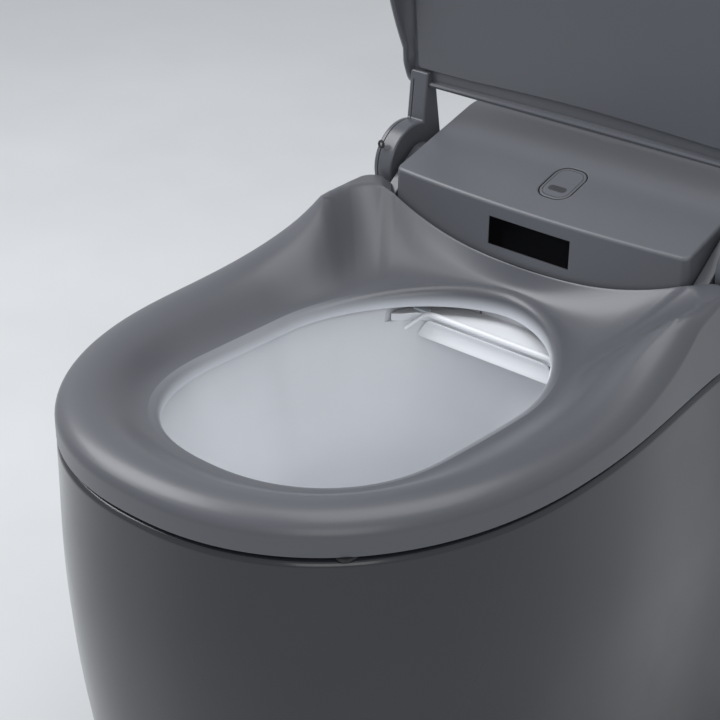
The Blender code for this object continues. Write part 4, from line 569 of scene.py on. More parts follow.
def skin(name, rings, *slots, around=False, poles=(), kinds=None):
    """A smooth closed piece from rings of equal length, joined in order. It is closed around,
    with poles or with flat ends. With two slots, kinds gives each band's material."""
    size, last = len(rings[0]), len(rings) - 1
    verts = [tuple(v) for ring in rings for v in ring]
    faces, marks = [], []
    kinds = kinds or [0] * len(rings)
    for i in range(len(rings) if around else last):
        a, b = i * size, (i + 1) % len(rings) * size
        faces += [(a + j, a + k, b + k, b + j) for j, k in neighbours(size)]
        marks += [kinds[i]] * size
    ends = ((0, kinds[0]), (last * size, kinds[-1]))
    for (start, kind), pole in zip(ends, poles):
        verts.append(tuple(pole))
        faces += [(start + j, start + k, len(verts) - 1) for j, k in neighbours(size)]
        marks += [kind] * size
    if not poles and not around:
        faces += [tuple(start + j for j in range(size)) for start, kind in ends]
        marks += [kind for start, kind in ends]
    mesh = bpy.data.meshes.new(name)
    mesh.from_pydata(verts, [], faces)
    for slot in slots:
        mesh.materials.append(MATERIALS[slot].material)
    mesh.polygons.foreach_set("material_index", marks)
    bm = bmesh.new()
    bm.from_mesh(mesh)
    bmesh.ops.recalc_face_normals(bm, faces=bm.faces)
    if bm.calc_volume(signed=True) < 0:
        bmesh.ops.reverse_faces(bm, faces=bm.faces)
    bm.to_mesh(mesh)
    bm.free()
    return shown(name, mesh)


def neighbours(count):
    return [(j, (j + 1) % count) for j in range(count)]


def shown(name, data):
    """An object in the scene that holds a mesh, a light or a camera."""
    obj = bpy.data.objects.new(name, data)
    bpy.context.scene.collection.objects.link(obj)
    return obj


def prism(name, outline, axis, span, *slots):
    """An outline drawn square to an axis and made solid over a span along it."""
    def point(p, level):
        spot = list(p)
        spot.insert(axis, level)
        return Vector(spot)
    return skin(name, [[point(p, level) for p in outline] for level in span], *slots)


def about(middle, half):
    return middle - half, middle + half


def block(name, x, y, z, *slots):
    """A box, given its spans along the three axes."""
    return prism(name, [(x[0], y[0]), (x[1], y[0]), (x[1], y[1]), (x[0], y[1])], 2, z, *slots)


def circle(centre, u, v, radius, count):
    return [centre + (u * math.cos(t) + v * math.sin(t)) * radius
            for t in (2 * math.pi * i / count for i in range(count))]


def turned(name, start, direction, profile, *slots, count=ROUND):
    """A closed profile of (distance, radius) turned about a line. Radius 0 closes an end."""
    d = Vector(direction).normalized()
    side = Vector((1, 0, 0)) if abs(d.x) < 0.5 else Vector((0, 1, 0))
    u = (side - d * side.dot(d)).normalized()
    v = d.cross(u)
    closed = profile[0][1] == 0 and profile[-1][1] == 0
    poles = [Vector(start) + d * p[0] for p in (profile[0], profile[-1])] if closed else ()
    rings = [circle(Vector(start) + d * along, u, v, radius, count)
             for along, radius in (profile[1:-1] if closed else profile)]
    return skin(name, rings, *slots, around=not closed, poles=poles)


def rod(name, start, direction, length, radius, *slots, count=ROUND):
    return turned(name, start, direction, [(0, 0), (0, radius), (length, radius), (length, 0)],
                  *slots, count=count)


def swept(name, path, radii, *slots, across=(1, 0, 0), count=ROUND):
    """A round solid along a path whose plane is square to the given direction."""
    across = Vector(across)
    rings = []
    for i, (spot, radius) in enumerate(zip(path, radii)):
        d = (Vector(path[min(i + 1, len(path) - 1)]) - Vector(path[max(i - 1, 0)])).normalized()
        rings.append(circle(Vector(spot), across, across.cross(d), radius, count))
    return skin(name, rings, *slots)


def baked(obj):
    """Makes the modifiers of a piece part of its mesh."""
    graph = bpy.context.evaluated_depsgraph_get()
    made = bpy.data.meshes.new_from_object(obj.evaluated_get(graph))
    obj.modifiers.clear()
    obj.data = made
    return obj


def combine(obj, others, operation):
    """Cuts or joins a piece with others, which take its first material if they have none."""
    for other in others:
        if not len(other.data.materials):
            other.data.materials.append(obj.data.materials[0])
        made = obj.modifiers.new(other.name, "BOOLEAN")
        made.operation = operation
        made.object = other
        made.solver = "EXACT"
        made.material_mode = "TRANSFER"
    baked(obj)
    for other in others:
        bpy.data.objects.remove(other, do_unlink=True)
    return obj


def cut(obj, *others):
    return combine(obj, others, "DIFFERENCE")


def join(obj, *others):
    return combine(obj, others, "UNION")


def bevel(obj, width, segments=3, degrees=32):
    made = obj.modifiers.new("edges", "BEVEL")
    made.width = width
    made.segments = segments
    made.limit_method = "ANGLE"
    made.angle_limit = math.radians(degrees)
    return obj


def soften(obj, *sizes):
    return baked(bevel(obj, *sizes))


def place(obj, body, nodes, degrees=34, turn=None):
    """Shades a piece, moves it to the floor frame and lets it ride on a body."""
    mesh = obj.data
    if turn:
        mesh.transform(turn)
    mesh.transform(Matrix.Translation(FLOOR_SHIFT))
    mesh.shade_smooth()
    mesh.set_sharp_from_angle(angle=math.radians(degrees))
    flat = obj.modifiers.new("flat faces", "WEIGHTED_NORMAL")
    flat.keep_sharp = True
    if nodes:
        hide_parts(*nodes)
    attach(obj, body)


# Curves and outlines

def held(t):
    return min(max(t, 0), 1)


def ease(t):
    return (1 - math.cos(math.pi * held(t))) / 2


def mix(a, b, t):
    return a + (b - a) * t


def even(count, first=0):
    """Even shares up to 1, from 0 or from a later step."""
    return [i / count for i in range(first, count + 1)]


def arc(count, first=0, turn=math.pi / 2):
    """Sine and cosine at even steps of a quarter turn, or of another turn."""
    return [(math.sin(turn * share), math.cos(turn * share)) for share in even(count, first)]


def smooth_rows(rows, steps):
    """Rows of numbers joined by a smooth curve over their first number."""
    slopes = []
    for i in range(len(rows)):
        a, b = rows[max(i - 1, 0)], rows[min(i + 1, len(rows) - 1)]
        slopes.append([(q - p) / (b[0] - a[0]) for p, q in zip(a, b)])
    made = [rows[0]]
    for i in range(len(rows) - 1):
        span = rows[i + 1][0] - rows[i][0]
        for t in even(steps, 1):
            h = (2 * t ** 3 - 3 * t ** 2 + 1, t ** 3 - 2 * t ** 2 + t,
                 3 * t ** 2 - 2 * t ** 3, t ** 3 - t ** 2)
            made.append(tuple(
                h[0] * p + h[1] * span * m + h[2] * q + h[3] * span * n
                for p, q, m, n in zip(rows[i], rows[i + 1], slopes[i], slopes[i + 1])))
    return made


def oval_quarter(half, length, power, count):
    angles = [math.pi / 2 * share ** TIP_SHARE for share in even(count)]
    return [(half * math.sin(t) ** (2 / power), length * max(math.cos(t), 0) ** (2 / power))
            for t in angles]


def mirrored(right):
    return list(right) + [(-x, y) for x, y in reversed(right) if x > 0]


def at_height(outline, z):
    return [Vector((x, y, z)) for x, y in outline]


def half_width(y):
    return HALF_WIDTH - SIDE_TAPER * ease((y - TAPER_START) / (TAPER_END - TAPER_START))


def plan_side(grow, recede, end, radius, steps):
    """The right half of a plan: its round front, tapering side and round rear corner."""
    front, side, corner = steps
    quarter = oval_quarter(HALF_WIDTH + grow, FRONT_LENGTH + grow - recede, OUTLINE_POWER, front)
    right = [(x, FRONT_LENGTH - y) for x, y in quarter]
    for share in even(side, 1):
        y = mix(FRONT_LENGTH, end, share)
        right.append((half_width(y) + grow, y))
    edge = right[-1][0] - radius
    return right + [(edge + radius * c, end + radius * s) for s, c in arc(corner, 1)]


def pan_outline(inset, recede, rear):
    """The pan's plan, with its front tip first, round rear corners and a straight rear."""
    right = plan_side(-inset, recede, rear - SKIRT_CORNER, SKIRT_CORNER, PAN_STEPS)
    edge = right[-1][0]
    return mirrored(right + [(edge * (1 - share), rear) for share in even(14, 1)])


def egg(front, rear, half, middle_front, middle_rear, count=PAN_STEPS[0]):
    """An opening's plan: a fuller front half, straight sides and a more pointed rear half."""
    right = [(x, middle_front - y)
             for x, y in oval_quarter(half, middle_front - front, OUTLINE_POWER, count)]
    back = oval_quarter(half, rear - middle_rear, EGG_REAR_POWER, count)
    right += [(x, middle_rear + y) for x, y in reversed(back)]
    return mirrored(right)


# Pan

def bowl_ring(inset, level):
    """One line round the bowl, from 0 at the rim to 1 at the sump."""
    share = sum(level ** power for power in BOWL_POWERS) / len(BOWL_POWERS)
    middle_front = mix(BOWL_MIDDLE_FRONT, (SUMP_FRONT + SUMP_REAR) / 2, share)
    middle_rear = max(mix(BOWL_MIDDLE_REAR, SUMP_REAR, share * BOWL_REAR_SHARE),
                      middle_front + FIT_GAP)
    return egg(mix(BOWL_FRONT, SUMP_FRONT, share) - inset,
               mix(BOWL_REAR, SUMP_REAR, share) + inset,
               mix(BOWL_HALF, SUMP_HALF, share) + inset, middle_front, middle_rear)


def bowl_rings(inset, top, bottom):
    """Lines down the bowl from a top level to a bottom level."""
    rings = [at_height(bowl_ring(inset, 0), top)]
    for share in even(44):
        level = 1 - (1 - share) ** BOWL_STEP_POWER
        if BOWL_DEPTH * level > -top:
            rings.append(at_height(bowl_ring(inset, level), -BOWL_DEPTH * level))
    rings.append([Vector((p.x, p.y, bottom)) for p in rings[-1]])
    return rings


def skirt_rings(inset, rear):
    """Lines round the skirt from just under the rim down to the foot."""
    rows = [(RIM_ROUND, 0, 0), (SKIRT_BULGE_DROP, -SKIRT_BULGE, SKIRT_BULGE)]
    for level, recede, narrow in SKIRT_SHARES:
        rows.append((RIM_HEIGHT * level, SKIRT_FOOT_INSET * narrow, SKIRT_FOOT_RECEDE * recede))
    return [at_height(pan_outline(inset + narrow, recede, rear), -drop)
            for drop, narrow, recede in smooth_rows(rows, 7)]


def bent(points, radius, steps=12):
    """A line by way of the given points, with its turns rounded."""
    path = [points[0]]
    for a, b, c in zip(points, points[1:], points[2:]):
        back, ahead = (a - b).normalized(), (c - b).normalized()
        half = back.angle(ahead) / 2
        reach = radius / math.tan(half)
        centre = b + (back + ahead).normalized() * (radius / math.sin(half))
        start = (b + back * reach - centre).normalized()
        end = (b + ahead * reach - centre).normalized()
        path += [centre + start.slerp(end, share) * radius for share in even(steps)]
    path.append(points[-1])
    return path


def trap_path():
    end = DEPTH - SPIGOT_BACK
    points = [Vector((0, *TRAP_START)), Vector((0, *TRAP_DIP)), Vector((0, *TRAP_CREST)),
              Vector((0, end - SPIGOT_LENGTH, -SPIGOT_DROP))]
    return bent(points, TRAP_BEND) + [Vector((0, end, -SPIGOT_DROP))]


def trap_bore(name):
    path = trap_path()
    longer = path[:-1] + [path[-1] + Vector((0, CUT_OVER, 0))]
    return swept(name, longer, [TRAP_BORE] * len(path), "bowl")


def flush_path(past):
    """From the inlet at the back, forwards and round to the right rear of the bowl."""
    level = -FLUSH_DROP
    points = [Vector((0, DEPTH - FLUSH_BACK + past, level)), Vector((0, FLUSH_TURN_Y, level)),
              Vector((*FLUSH_OUTLET, level - FLUSH_FALL))]
    return bent(points, FLUSH_TURN_BEND)


def channel_bore(name):
    path = flush_path(CUT_OVER)
    radii = [FLUSH_BORE] * (len(path) - 1) + [FLUSH_NARROW]
    return swept(name, path, radii, "bowl", across=(0, 0, 1))


def housing_under(y):
    return SPRAY_Z + (y - SPRAY_Y) * math.tan(SPRAY) - HOUSING_UNDER / math.cos(SPRAY)


def pan_body():
    """The bowl, rim, skirt and the hollow inside as one skin, the bowl in a pale glaze that paints
    the night light's glow.
    """
    bowl = bowl_rings(0, -BOWL_LIP, -BOWL_DEPTH - FIT_GAP)[::-1]
    lip = [at_height(bowl_ring(BOWL_LIP * (1 - c), 0), -BOWL_LIP * (1 - s)) for s, c in arc(5, 1)]
    rim = [at_height(pan_outline(RIM_ROUND * (1 - s), 0, DEPTH), -RIM_ROUND * (1 - c))
           for s, c in arc(6)]
    skirt = skirt_rings(0, DEPTH)[1:]
    inside = [ring for ring in skirt_rings(PAN_WALL, DEPTH - PAN_WALL)[::-1]
              if ring[0].z < -DECK_THICKNESS]
    deck = [at_height(pan_outline(PAN_WALL, 0, DEPTH - PAN_WALL), -DECK_THICKNESS)]
    cup = bowl_rings(BOWL_WALL, -DECK_THICKNESS, -BOWL_DEPTH - BOWL_WALL)
    rings = bowl + lip + rim + skirt + inside + deck + cup
    # the bowl and its lip take the pale glaze of painted light
    white = len(bowl) + len(lip) - 1
    kinds = [1 if i < white else 0 for i in range(len(rings) - 1)]
    return skin("pan_casting", rings, "ceramic", "bowl", kinds=kinds)


def shelf_line(shares):
    return [(SHELF_HALF * across, SHELF_SIDE_Y + SHELF_DEPTH * back) for across, back in shares]


def unit_room():
    """The boss that carries the nozzle unit, and the three cuts that make room for the unit."""
    low = housing_under(POCKET_FRONT) - FIT_GAP / math.cos(SPRAY)
    rear = POCKET_FRONT - low / math.tan(SPRAY)
    front, outer = POCKET_FRONT - CUT_OVER / 2, rear + PAN_WALL
    boss = prism("pocket_body", [
        (front, -DECK_THICKNESS / 2), (front, low - PAN_WALL), (outer, -PAN_WALL),
        (outer, -DECK_THICKNESS / 2)], 0, about(0, POCKET_HALF + PAN_WALL))
    front, outer = POCKET_FRONT - 2 * CUT_OVER, rear + CUT_OVER
    pocket = prism("pocket", [
        (front, CUT_OVER), (front, low), (POCKET_FRONT, low), (rear, 0), (outer, CUT_OVER / 2),
        (outer, CUT_OVER)], 0, about(0, HOUSING_HALF + RUNNING_GAP), "bowl")
    chin_room = block("chin_room", about(0, POCKET_HALF), (POCKET_FRONT - CUT_OVER, POCKET_FRONT),
                      (CHIN_ROOM_LOW, CUT_OVER), "bowl")
    recess = prism("recess", mirrored([(0, RECESS_FRONT)] + shelf_line(RECESS_SHARES)), 2,
                   (SHELF_BOTTOM - FIT_GAP, CUT_OVER), "bowl")
    return boss, (pocket, chin_room, recess)


def make_pan():
    """One glazed casting: bowl, rim, deck and open-backed skirt, the bowl pale with painted light.
    """
    pan = pan_body()
    boss, cuts = unit_room()
    back = block("back_cut", about(0, BACK_CAVITY_HALF),
                 (DEPTH - PAN_WALL - CUT_OVER, DEPTH + CUT_OVER),
                 (-RIM_HEIGHT - CUT_OVER, -BACK_CAVITY_TOP))
    inner = skin("bowl_inner", bowl_rings(0, CUT_OVER, -BOWL_DEPTH - FIT_GAP), "bowl")
    join(pan, boss)
    cut(pan, back, inner, trap_bore("trap_bore"), channel_bore("flush_bore"), *cuts)
    place(pan, "pan", ["toilet_bowl"])


def cut_passage(obj, *others):
    """Cuts the outside of the bowl out of a passage, and then the given pieces."""
    wall = BOWL_WALL + FIT_GAP
    return cut(obj, skin("clear", bowl_rings(wall, -RIM_ROUND, -BOWL_DEPTH - wall)), *others)


def make_trapway():
    path = trap_path()
    radii = [TRAP_OUTER] * (len(path) - 2) + [SPIGOT_OUTER] * 2
    trap = swept("trap_tube", path, radii, "ceramic")
    cut_passage(trap, trap_bore("tube_bore"))
    place(trap, "pan", ["trapway"])


def make_flush_channel():
    path = flush_path(0)
    radii = [FLUSH_OUTER] * (len(path) - 1) + [FLUSH_NARROW + FLUSH_OUTER - FLUSH_BORE]
    channel = swept("flush_tube", path, radii, "ceramic", across=(0, 0, 1))
    low = housing_under(POCKET_FRONT) - PAN_WALL
    top = block("flush_top", about(0, 2 * POCKET_HALF), about(POCKET_FRONT, 2 * CUT_OVER),
                (low, low + 2 * CUT_OVER))
    cut_passage(channel, channel_bore("flush_way"), top)
    place(channel, "pan", ["flush_channel"])


# Seat

def crown_height(y):
    front = CROWN_FRONT + CROWN_SIDE_RISE * held(y / CROWN_SIDE_RUN)
    rise = held((y - CROWN_RISE_START) / CROWN_RISE_LENGTH)
    return front + CROWN_REAR_RISE * rise ** CROWN_RISE_POWER


def inner_height(y):
    rise = INNER_REAR_RISE if y > SEAT_CENTRE_Y else INNER_FRONT_RISE
    return INNER_TOP + rise * ((y - SEAT_CENTRE_Y) / INNER_REACH) ** 2


def rear_height(x):
    rise = REAR_LINE_RISE * (abs(x) / REAR_LINE_REACH) ** REAR_LINE_POWER
    return min(REAR_LINE_TOP, REAR_LINE_MIDDLE + rise)


def smooth_rear(x):
    """Where the seat ends along the cover's front, run on straight past the cover."""
    return SEAT_REAR + SEAT_REAR_BOW * min(abs(x) / LUG_INNER, 1) ** 2


def rear_line(x):
    """Where the seat ends: along the cover's front, and further back beside the cover."""
    return EAR_REAR if abs(x) > LUG_INNER + FIT_GAP else smooth_rear(x)


def seat_outline(grow=0.0, end=None, corner_radius=SEAT_CORNER, rear=rear_line):
    """The seat's plan, its rear drawn by a function of the distance from the middle."""
    end = end or rear(LUG_OUTER) - corner_radius
    right = plan_side(grow, 0, end, corner_radius, SEAT_STEPS)
    across = min(LUG_INNER, right[-1][0] - FIT_GAP)
    right.append((across, rear(LUG_OUTER)))
    right += [(across * (1 - share), rear(across * (1 - share))) for share in even(40)]
    return mirrored(right)


def ray_hit(loop, centre, angle):
    """Where a ray from the centre first meets a closed outline."""
    dx, dy = math.cos(angle), math.sin(angle)
    hits = []
    for i, (ax, ay) in enumerate(loop):
        bx, by = loop[(i + 1) % len(loop)]
        ex, ey = bx - ax, by - ay
        den = dx * ey - dy * ex
        if abs(den) < PARALLEL:
            continue
        px, py = ax - centre[0], ay - centre[1]
        along = (px * ey - py * ex) / den
        share = (px * dy - py * dx) / den
        if along > 0 and -SHARE_SLACK <= share <= 1 + SHARE_SLACK:
            hits.append(along)
    first = min(hits)
    return Vector((centre[0] + dx * first, centre[1] + dy * first))


def station_angles():
    """Even steps round the seat, four times closer where the rear corners turn."""
    corner = math.degrees(math.atan2(EAR_REAR - SEAT_CORNER - SEAT_CENTRE_Y, half_width(EAR_REAR)))
    ear = math.degrees(math.atan2(rear_line(LUG_INNER) - SEAT_CENTRE_Y, LUG_INNER))
    right = list(about(ear, EAR_SPLIT))
    angle = STATION_STEP - 90
    while angle < 90:
        if abs(angle - ear) > EAR_CLEAR:
            right.append(angle)
        at_corner = CORNER_STATIONS[0] < angle - corner < CORNER_STATIONS[1]
        angle += STATION_STEP / 4 if at_corner else STATION_STEP
    right.sort()
    left = [180 - a for a in reversed(right)]
    return [math.radians(a) for a in [-90, *right, 90, *left]]


def turned_to_rear(angle, first, last):
    """One at the sides and the front, nothing at the rear, eased between two angles."""
    rise = math.degrees(math.asin(min(max(math.sin(angle), -1), 1)))
    return ease((last - rise) / (last - first))


def seat_profile(angle, start, width, near):
    """The top of the seat from its opening to its outer edge, as (distance, height). It rises
    to a smooth line near the edge, and beside the cover it runs on as a narrow shoulder."""
    reach = (near - start).length
    along_side = turned_to_rear(angle, *CREST_TURN)
    crown = mix(rear_height(near.x), crown_height(near.y), along_side)
    side = turned_to_rear(angle, *RISE_TURN)
    edge = turned_to_rear(angle, *ROLL_TURN)
    inset, roll = mix(REAR_ROLL, CROWN_INSET, edge), mix(REAR_ROLL, CROWN_ROLL, edge)
    low = inner_height(start.y)
    climb = reach - inset - INNER_ROUND
    power = mix(*CLIMB_POWERS, side)

    def height(d):
        share = held((d - INNER_ROUND) / climb)
        rounded = mix(share ** power, ease(share ** CLIMB_EASE_POWER), side)
        over = held((d - width + inset) / inset)
        return mix(low, crown, rounded) - roll * (1 - math.sqrt(1 - over * over))

    points = [(INNER_ROUND * (1 - c), low - INNER_DROP * (1 - s)) for s, c in arc(8)]
    turn = reach - EDGE_RUN
    bend = mix(INNER_ROUND, turn, BEND_SHARE)
    spots = [mix(INNER_ROUND, bend, share) for share in even(18, 1)[:-1]]
    spots += [mix(bend, turn, share) for share in even(12)[:-1]]
    spots += [mix(turn, width, s) for s, c in arc(9)]
    return points + [(d, height(d)) for d in spots]


def seat_section(angle, start, width, near):
    """The whole section: the top, the small round outer edge and the room for the seat base."""
    part = SEAT_EDGE * MID_ROUND_SHARE
    skirt = width - SEAT_SKIRT_WIDTH
    return [(0, SEAT_LIP_HEIGHT), *seat_profile(angle, start, width, near),
            (width, SEAT_GAP + SEAT_EDGE), (width - part, SEAT_GAP + part),
            (width - SEAT_EDGE, SEAT_GAP), (skirt, SEAT_GAP), (skirt, SEAT_BASE_TOP),
            (SEAT_LIP_WIDTH, SEAT_BASE_TOP), (SEAT_LIP_WIDTH, SEAT_LIP_HEIGHT)]


def hinge_arc(radius, first, last, count):
    """Points of an arc about the hinge line, seen from the side, between two angles."""
    angles = [math.radians(mix(first, last, share)) for share in even(count)]
    return [(AXIS_Y + radius * math.cos(t), AXIS_Z + radius * math.sin(t)) for t in angles]


def hinge_span(side, inner, outer):
    return sorted((side * inner, side * outer))


def pin_hole(side, inner, outer):
    """The bore for one hinge pin, between two distances from the middle."""
    return rod("hole", (side * inner, AXIS_Y, AXIS_Z), (side, 0, 0), outer - inner,
               PIN_RADIUS + PIN_CLEARANCE)


def seat_lug(side):
    outline = [(LUG_START, LUG_ROOT_LOW), (LUG_START, LUG_ROOT_TOP),
               *hinge_arc(LUG_RADIUS, *LUG_ROUND_DEGREES, 40)]
    return soften(prism("lug", outline, 0, hinge_span(side, LUG_INNER, LUG_OUTER)), LUG_EDGE)


def make_seat():
    inner = egg(SEAT_OPEN_FRONT, SEAT_OPEN_REAR, SEAT_OPEN_HALF,
                SEAT_OPEN_MIDDLE_FRONT, SEAT_OPEN_MIDDLE_REAR, 90)
    outer = seat_outline()
    smooth = seat_outline(end=SEAT_REAR + SEAT_REAR_BOW - SMOOTH_CORNER,
                          corner_radius=SMOOTH_CORNER, rear=smooth_rear)
    rings = []
    for angle in station_angles():
        start, end, near = (ray_hit(loop, SEAT_CENTRE, angle) for loop in (inner, outer, smooth))
        step, width = (end - start).normalized(), (end - start).length
        rings.append([Vector((*(start + step * d), z))
                      for d, z in seat_section(angle, start, width, near)])
    seat = skin("seat_ring", rings, "seat_plastic", "seat_wall", around=True)
    across = len(rings[0])
    # The rows of the inner wall take the material with the painted light
    for face in seat.data.polygons:
        spots = [v % across for v in face.vertices]
        face.material_index = int(min(spots) < INNER_WALL_ROWS and max(spots) < across - 1)
    for side in (-1, 1):
        join(seat, seat_lug(side))
        cut(seat, pin_hole(side, LUG_INNER - CUT_OVER, LUG_OUTER + CUT_OVER))
    place(seat, "seat", ["seat"], 40)


# Lid

def lid_top(y):
    return LID_FRONT_TOP + LID_SLOPE * y + LID_CURVE * y * y


def lid_rim_low(y):
    side = ease((LID_REAR - y) / CROWN_INSET)
    return mix(lid_top(y) - LID_REAR_EDGE, crown_height(y) + LID_SEAT_GAP, side)


def lid_levels(y):
    """The lid's section where its edge is at y: over the top, down the edge, under the wall and
    back inside, as (share of the ray, inset, drop)."""
    depth = lid_top(y) - lid_rim_low(y)
    half = LID_WALL / 2
    edge = min(LID_EDGE_ROUND, depth - half - FIT_GAP)
    shares = even(12, 1)[:-2]
    levels = [(share, 0, 0) for share in shares]
    levels += [(1, edge * (1 - s), edge * (1 - c)) for s, c in arc(10)]
    levels += [(1, half * (1 - c), depth - half * (1 - s)) for s, c in arc(4, turn=math.pi)]
    levels.append((1, LID_WALL, max(edge, LID_SHELL + FIT_GAP)))
    levels.append((1, max(edge, LID_WALL + FIT_GAP), LID_SHELL))
    return levels + [(share, 0, LID_SHELL) for share in reversed(shares)]


def liner_levels():
    """The liner's section: a thin plate with a round edge."""
    under = LID_SHELL + FIT_GAP
    edge = LID_LINER_THICKNESS / 2
    shares = even(10, 1)[:-1]
    levels = [(share, 0, under) for share in shares]
    levels += [(1, edge * (1 - s), under + edge * (1 - c)) for s, c in arc(8, turn=math.pi)]
    return levels + [(share, 0, under + 2 * edge) for share in reversed(shares)]


def lid_plate(name, rays, levels):
    """A plate that follows the lid's top line, from a section for each ray."""
    def point(spot, drop):
        return Vector((*spot, lid_top(spot.y) - drop))
    rings = []
    for row in zip(*levels):
        rings.append([point(LID_CENTRE + step * (reach * share - inset), drop)
                      for (step, reach), (share, inset, drop) in zip(rays, row)])
    poles = [point(LID_CENTRE, levels[0][end][-1]) for end in (0, -1)]
    return skin(name, rings, "lid_plastic", poles=poles)


def lid_rays():
    """For each station, a direction from the lid's middle and the reach to its edge."""
    outline = seat_outline(LID_MARGIN, LID_REAR - SEAT_CORNER / 2, SEAT_CORNER / 2,
                           lambda x: LID_REAR)
    spans = [ray_hit(outline, LID_CENTRE, angle) - LID_CENTRE for angle in station_angles()]
    return [(span.normalized(), span.length) for span in spans]


def lid_arm(side):
    """A lid arm, drawn closed: the root, a round end about the hinge that clears the seat at
    every angle, and a fine groove near its outer face."""
    end = -180 - math.degrees(math.asin(ARM_STEP / ARM_RADIUS))
    outline = [(ARM_ROOT_Y, ARM_ROOT_TOP - ARM_ROOT_DROP), (ARM_ROOT_Y, ARM_ROOT_TOP),
               *hinge_arc(ARM_RADIUS, ARM_ROUND_START, end, 80)]
    arm = prism("arm", outline, 0, hinge_span(side, ARM_INNER, ARM_OUTER), "lid_plastic")
    near, far = ARM_RADIUS - ARM_GROOVE_DEPTH, 2 * ARM_RADIUS
    ring = [(0, near), (0, far), (ARM_GROOVE_WIDTH, far), (ARM_GROOVE_WIDTH, near)]
    groove = turned("groove", (side * (ARM_GROOVE_X - ARM_GROOVE_WIDTH / 2), AXIS_Y, AXIS_Z),
                    (side, 0, 0), ring, count=96)
    return cut(soften(arm, ARM_ROUND, 4), groove)


def make_lid():
    rays = lid_rays()
    levels = [lid_levels(LID_CENTRE_Y + step.y * reach) for step, reach in rays]
    lid = lid_plate("lid_shell", rays, levels)
    for side in (-1, 1):
        join(lid, lid_arm(side))
        cut(lid, pin_hole(side, ARM_INNER - CUT_OVER, PIN_OUTER + PIN_CLEARANCE))
    place(lid, "lid", ["lid"], 38, OPEN_LID)


def make_lid_liner():
    """The lid's inner panel, which ends in front of the arms."""
    rays = []
    for step, reach in lid_rays():
        reach -= LID_LINER_INSET + LID_WALL
        if step.y > 0:
            reach = min(reach, (ARM_ROOT_Y - RUNNING_GAP - LID_CENTRE_Y) / step.y)
        rays.append((step, reach))
    liner = lid_plate("lid_lining", rays, [liner_levels()] * len(rays))
    place(liner, "lid", ["lid_liner"], 40, OPEN_LID)


# Cover of the wash unit

def cover_top(y):
    slope = math.tan(math.radians(COVER_SLOPE_DEGREES))
    run = min(y, COVER_CREST_Y) - COVER_FRONT_TOP
    height = COVER_TOP_FRONT + slope * run
    over = y - COVER_CREST_Y
    if over > 0:
        height += slope * COVER_CREST_EASE / 2 * ease(over / COVER_CREST_EASE)
        height -= COVER_BACK_DROP * ease((over - COVER_CREST_EASE) / COVER_CREST_EASE)
    return height


def cover_outline(inset, front, shrink=0.0):
    """The cover's plan, its front slightly bowed; shrink pulls every side in."""
    pull = inset + shrink
    half, back, radius = COVER_HALF - pull, COVER_BACK - pull, COVER_BACK_CORNER - pull
    corner = max(COVER_FRONT_CORNER - shrink, FIT_GAP)
    right = []
    for share in even(24):
        x = (half - corner) * share
        right.append((x, front + pull + COVER_FRONT_BOW * (x / COVER_HALF) ** 2))
    start = right[-1][1] + corner
    right += [(half - corner + corner * s, start - corner * c) for s, c in arc(12, 1)]
    right += [(half, mix(start, back - radius, share)) for share in even(25, 1)[:-1]]
    right += [(half - radius + radius * c, back - radius + radius * s) for s, c in arc(18)]
    return mirrored(right + [((half - radius) * (1 - share), back) for share in even(12, 1)])


def cover_point(x, y, drop):
    return Vector((x, y, cover_top(y) - drop))


def cover_solid(name, inset, low, edge, rear_low=None):
    """The cover's outer form or its hollow, with a round top edge. The middle of the rear can
    reach further down."""
    bottom = at_height(cover_outline(inset, COVER_FRONT_LOW), low)
    if rear_low is not None:
        for p in bottom:
            if p.y > APRON_FRONT and abs(p.x) < APRON_HALF:
                p.z = rear_low
    centre = Vector((0, (COVER_FRONT_TOP + COVER_BACK) / 2))
    rings = [bottom]
    for s, c in arc(7):
        line = cover_outline(inset, COVER_FRONT_TOP, edge * (1 - c))
        rings.append([cover_point(x, y, inset + edge * (1 - s)) for x, y in line])
    flat = [Vector((p.x, p.y)) for p in rings[-1]]
    for share in even(24, 1)[:-1]:
        rings.append([cover_point(*mix(p, centre, share), inset) for p in flat])
    poles = (Vector((*centre, low)), cover_point(*centre, inset))
    return skin(name, rings, "cover_plastic", poles=poles)


def front_face_y(z):
    share = (z - COVER_LOW) / (COVER_TOP_FRONT - COVER_LOW)
    return mix(COVER_FRONT_LOW, COVER_FRONT_TOP, share)


def window_outline(gap, near, far):
    """The window seen from the side, between two depths behind the cover's leaning front."""
    low, high = WINDOW_LOW - gap, WINDOW_TOP + gap
    return [(front_face_y(z) + depth, z)
            for z, depth in ((low, near), (high, near), (high, far), (low, far))]


def rounded_box(hx, hy, radius, count=14):
    points = []
    for sx, sy, start in ((1, 1, 0), (-1, 1, 1), (-1, -1, 2), (1, -1, 3)):
        for share in even(count):
            t = (start + share) * math.pi / 2
            points.append((sx * (hx - radius) + radius * math.cos(t),
                           sy * (hy - radius) + radius * math.sin(t)))
    return points


def slanted(name, levels, *slots, half=BUTTON_HALF, length=BUTTON_HALF_LENGTH,
            corner=BUTTON_CORNER, ahead=0.0):
    """A rounded block square to the cover's slope, from pairs of (growth, height)."""
    slope = math.radians(COVER_SLOPE_DEGREES)
    forward = Vector((0, math.cos(slope), math.sin(slope)))
    normal = Vector((0, -math.sin(slope), math.cos(slope)))
    centre = Vector((0, BUTTON_Y, cover_top(BUTTON_Y))) - forward * ahead
    rings = []
    for grow, level in levels:
        outline = rounded_box(half + grow, length + grow, corner + grow)
        rings.append([centre + Vector((x, 0, 0)) + forward * y + normal * level
                      for x, y in outline])
    return skin(name, rings, *slots)


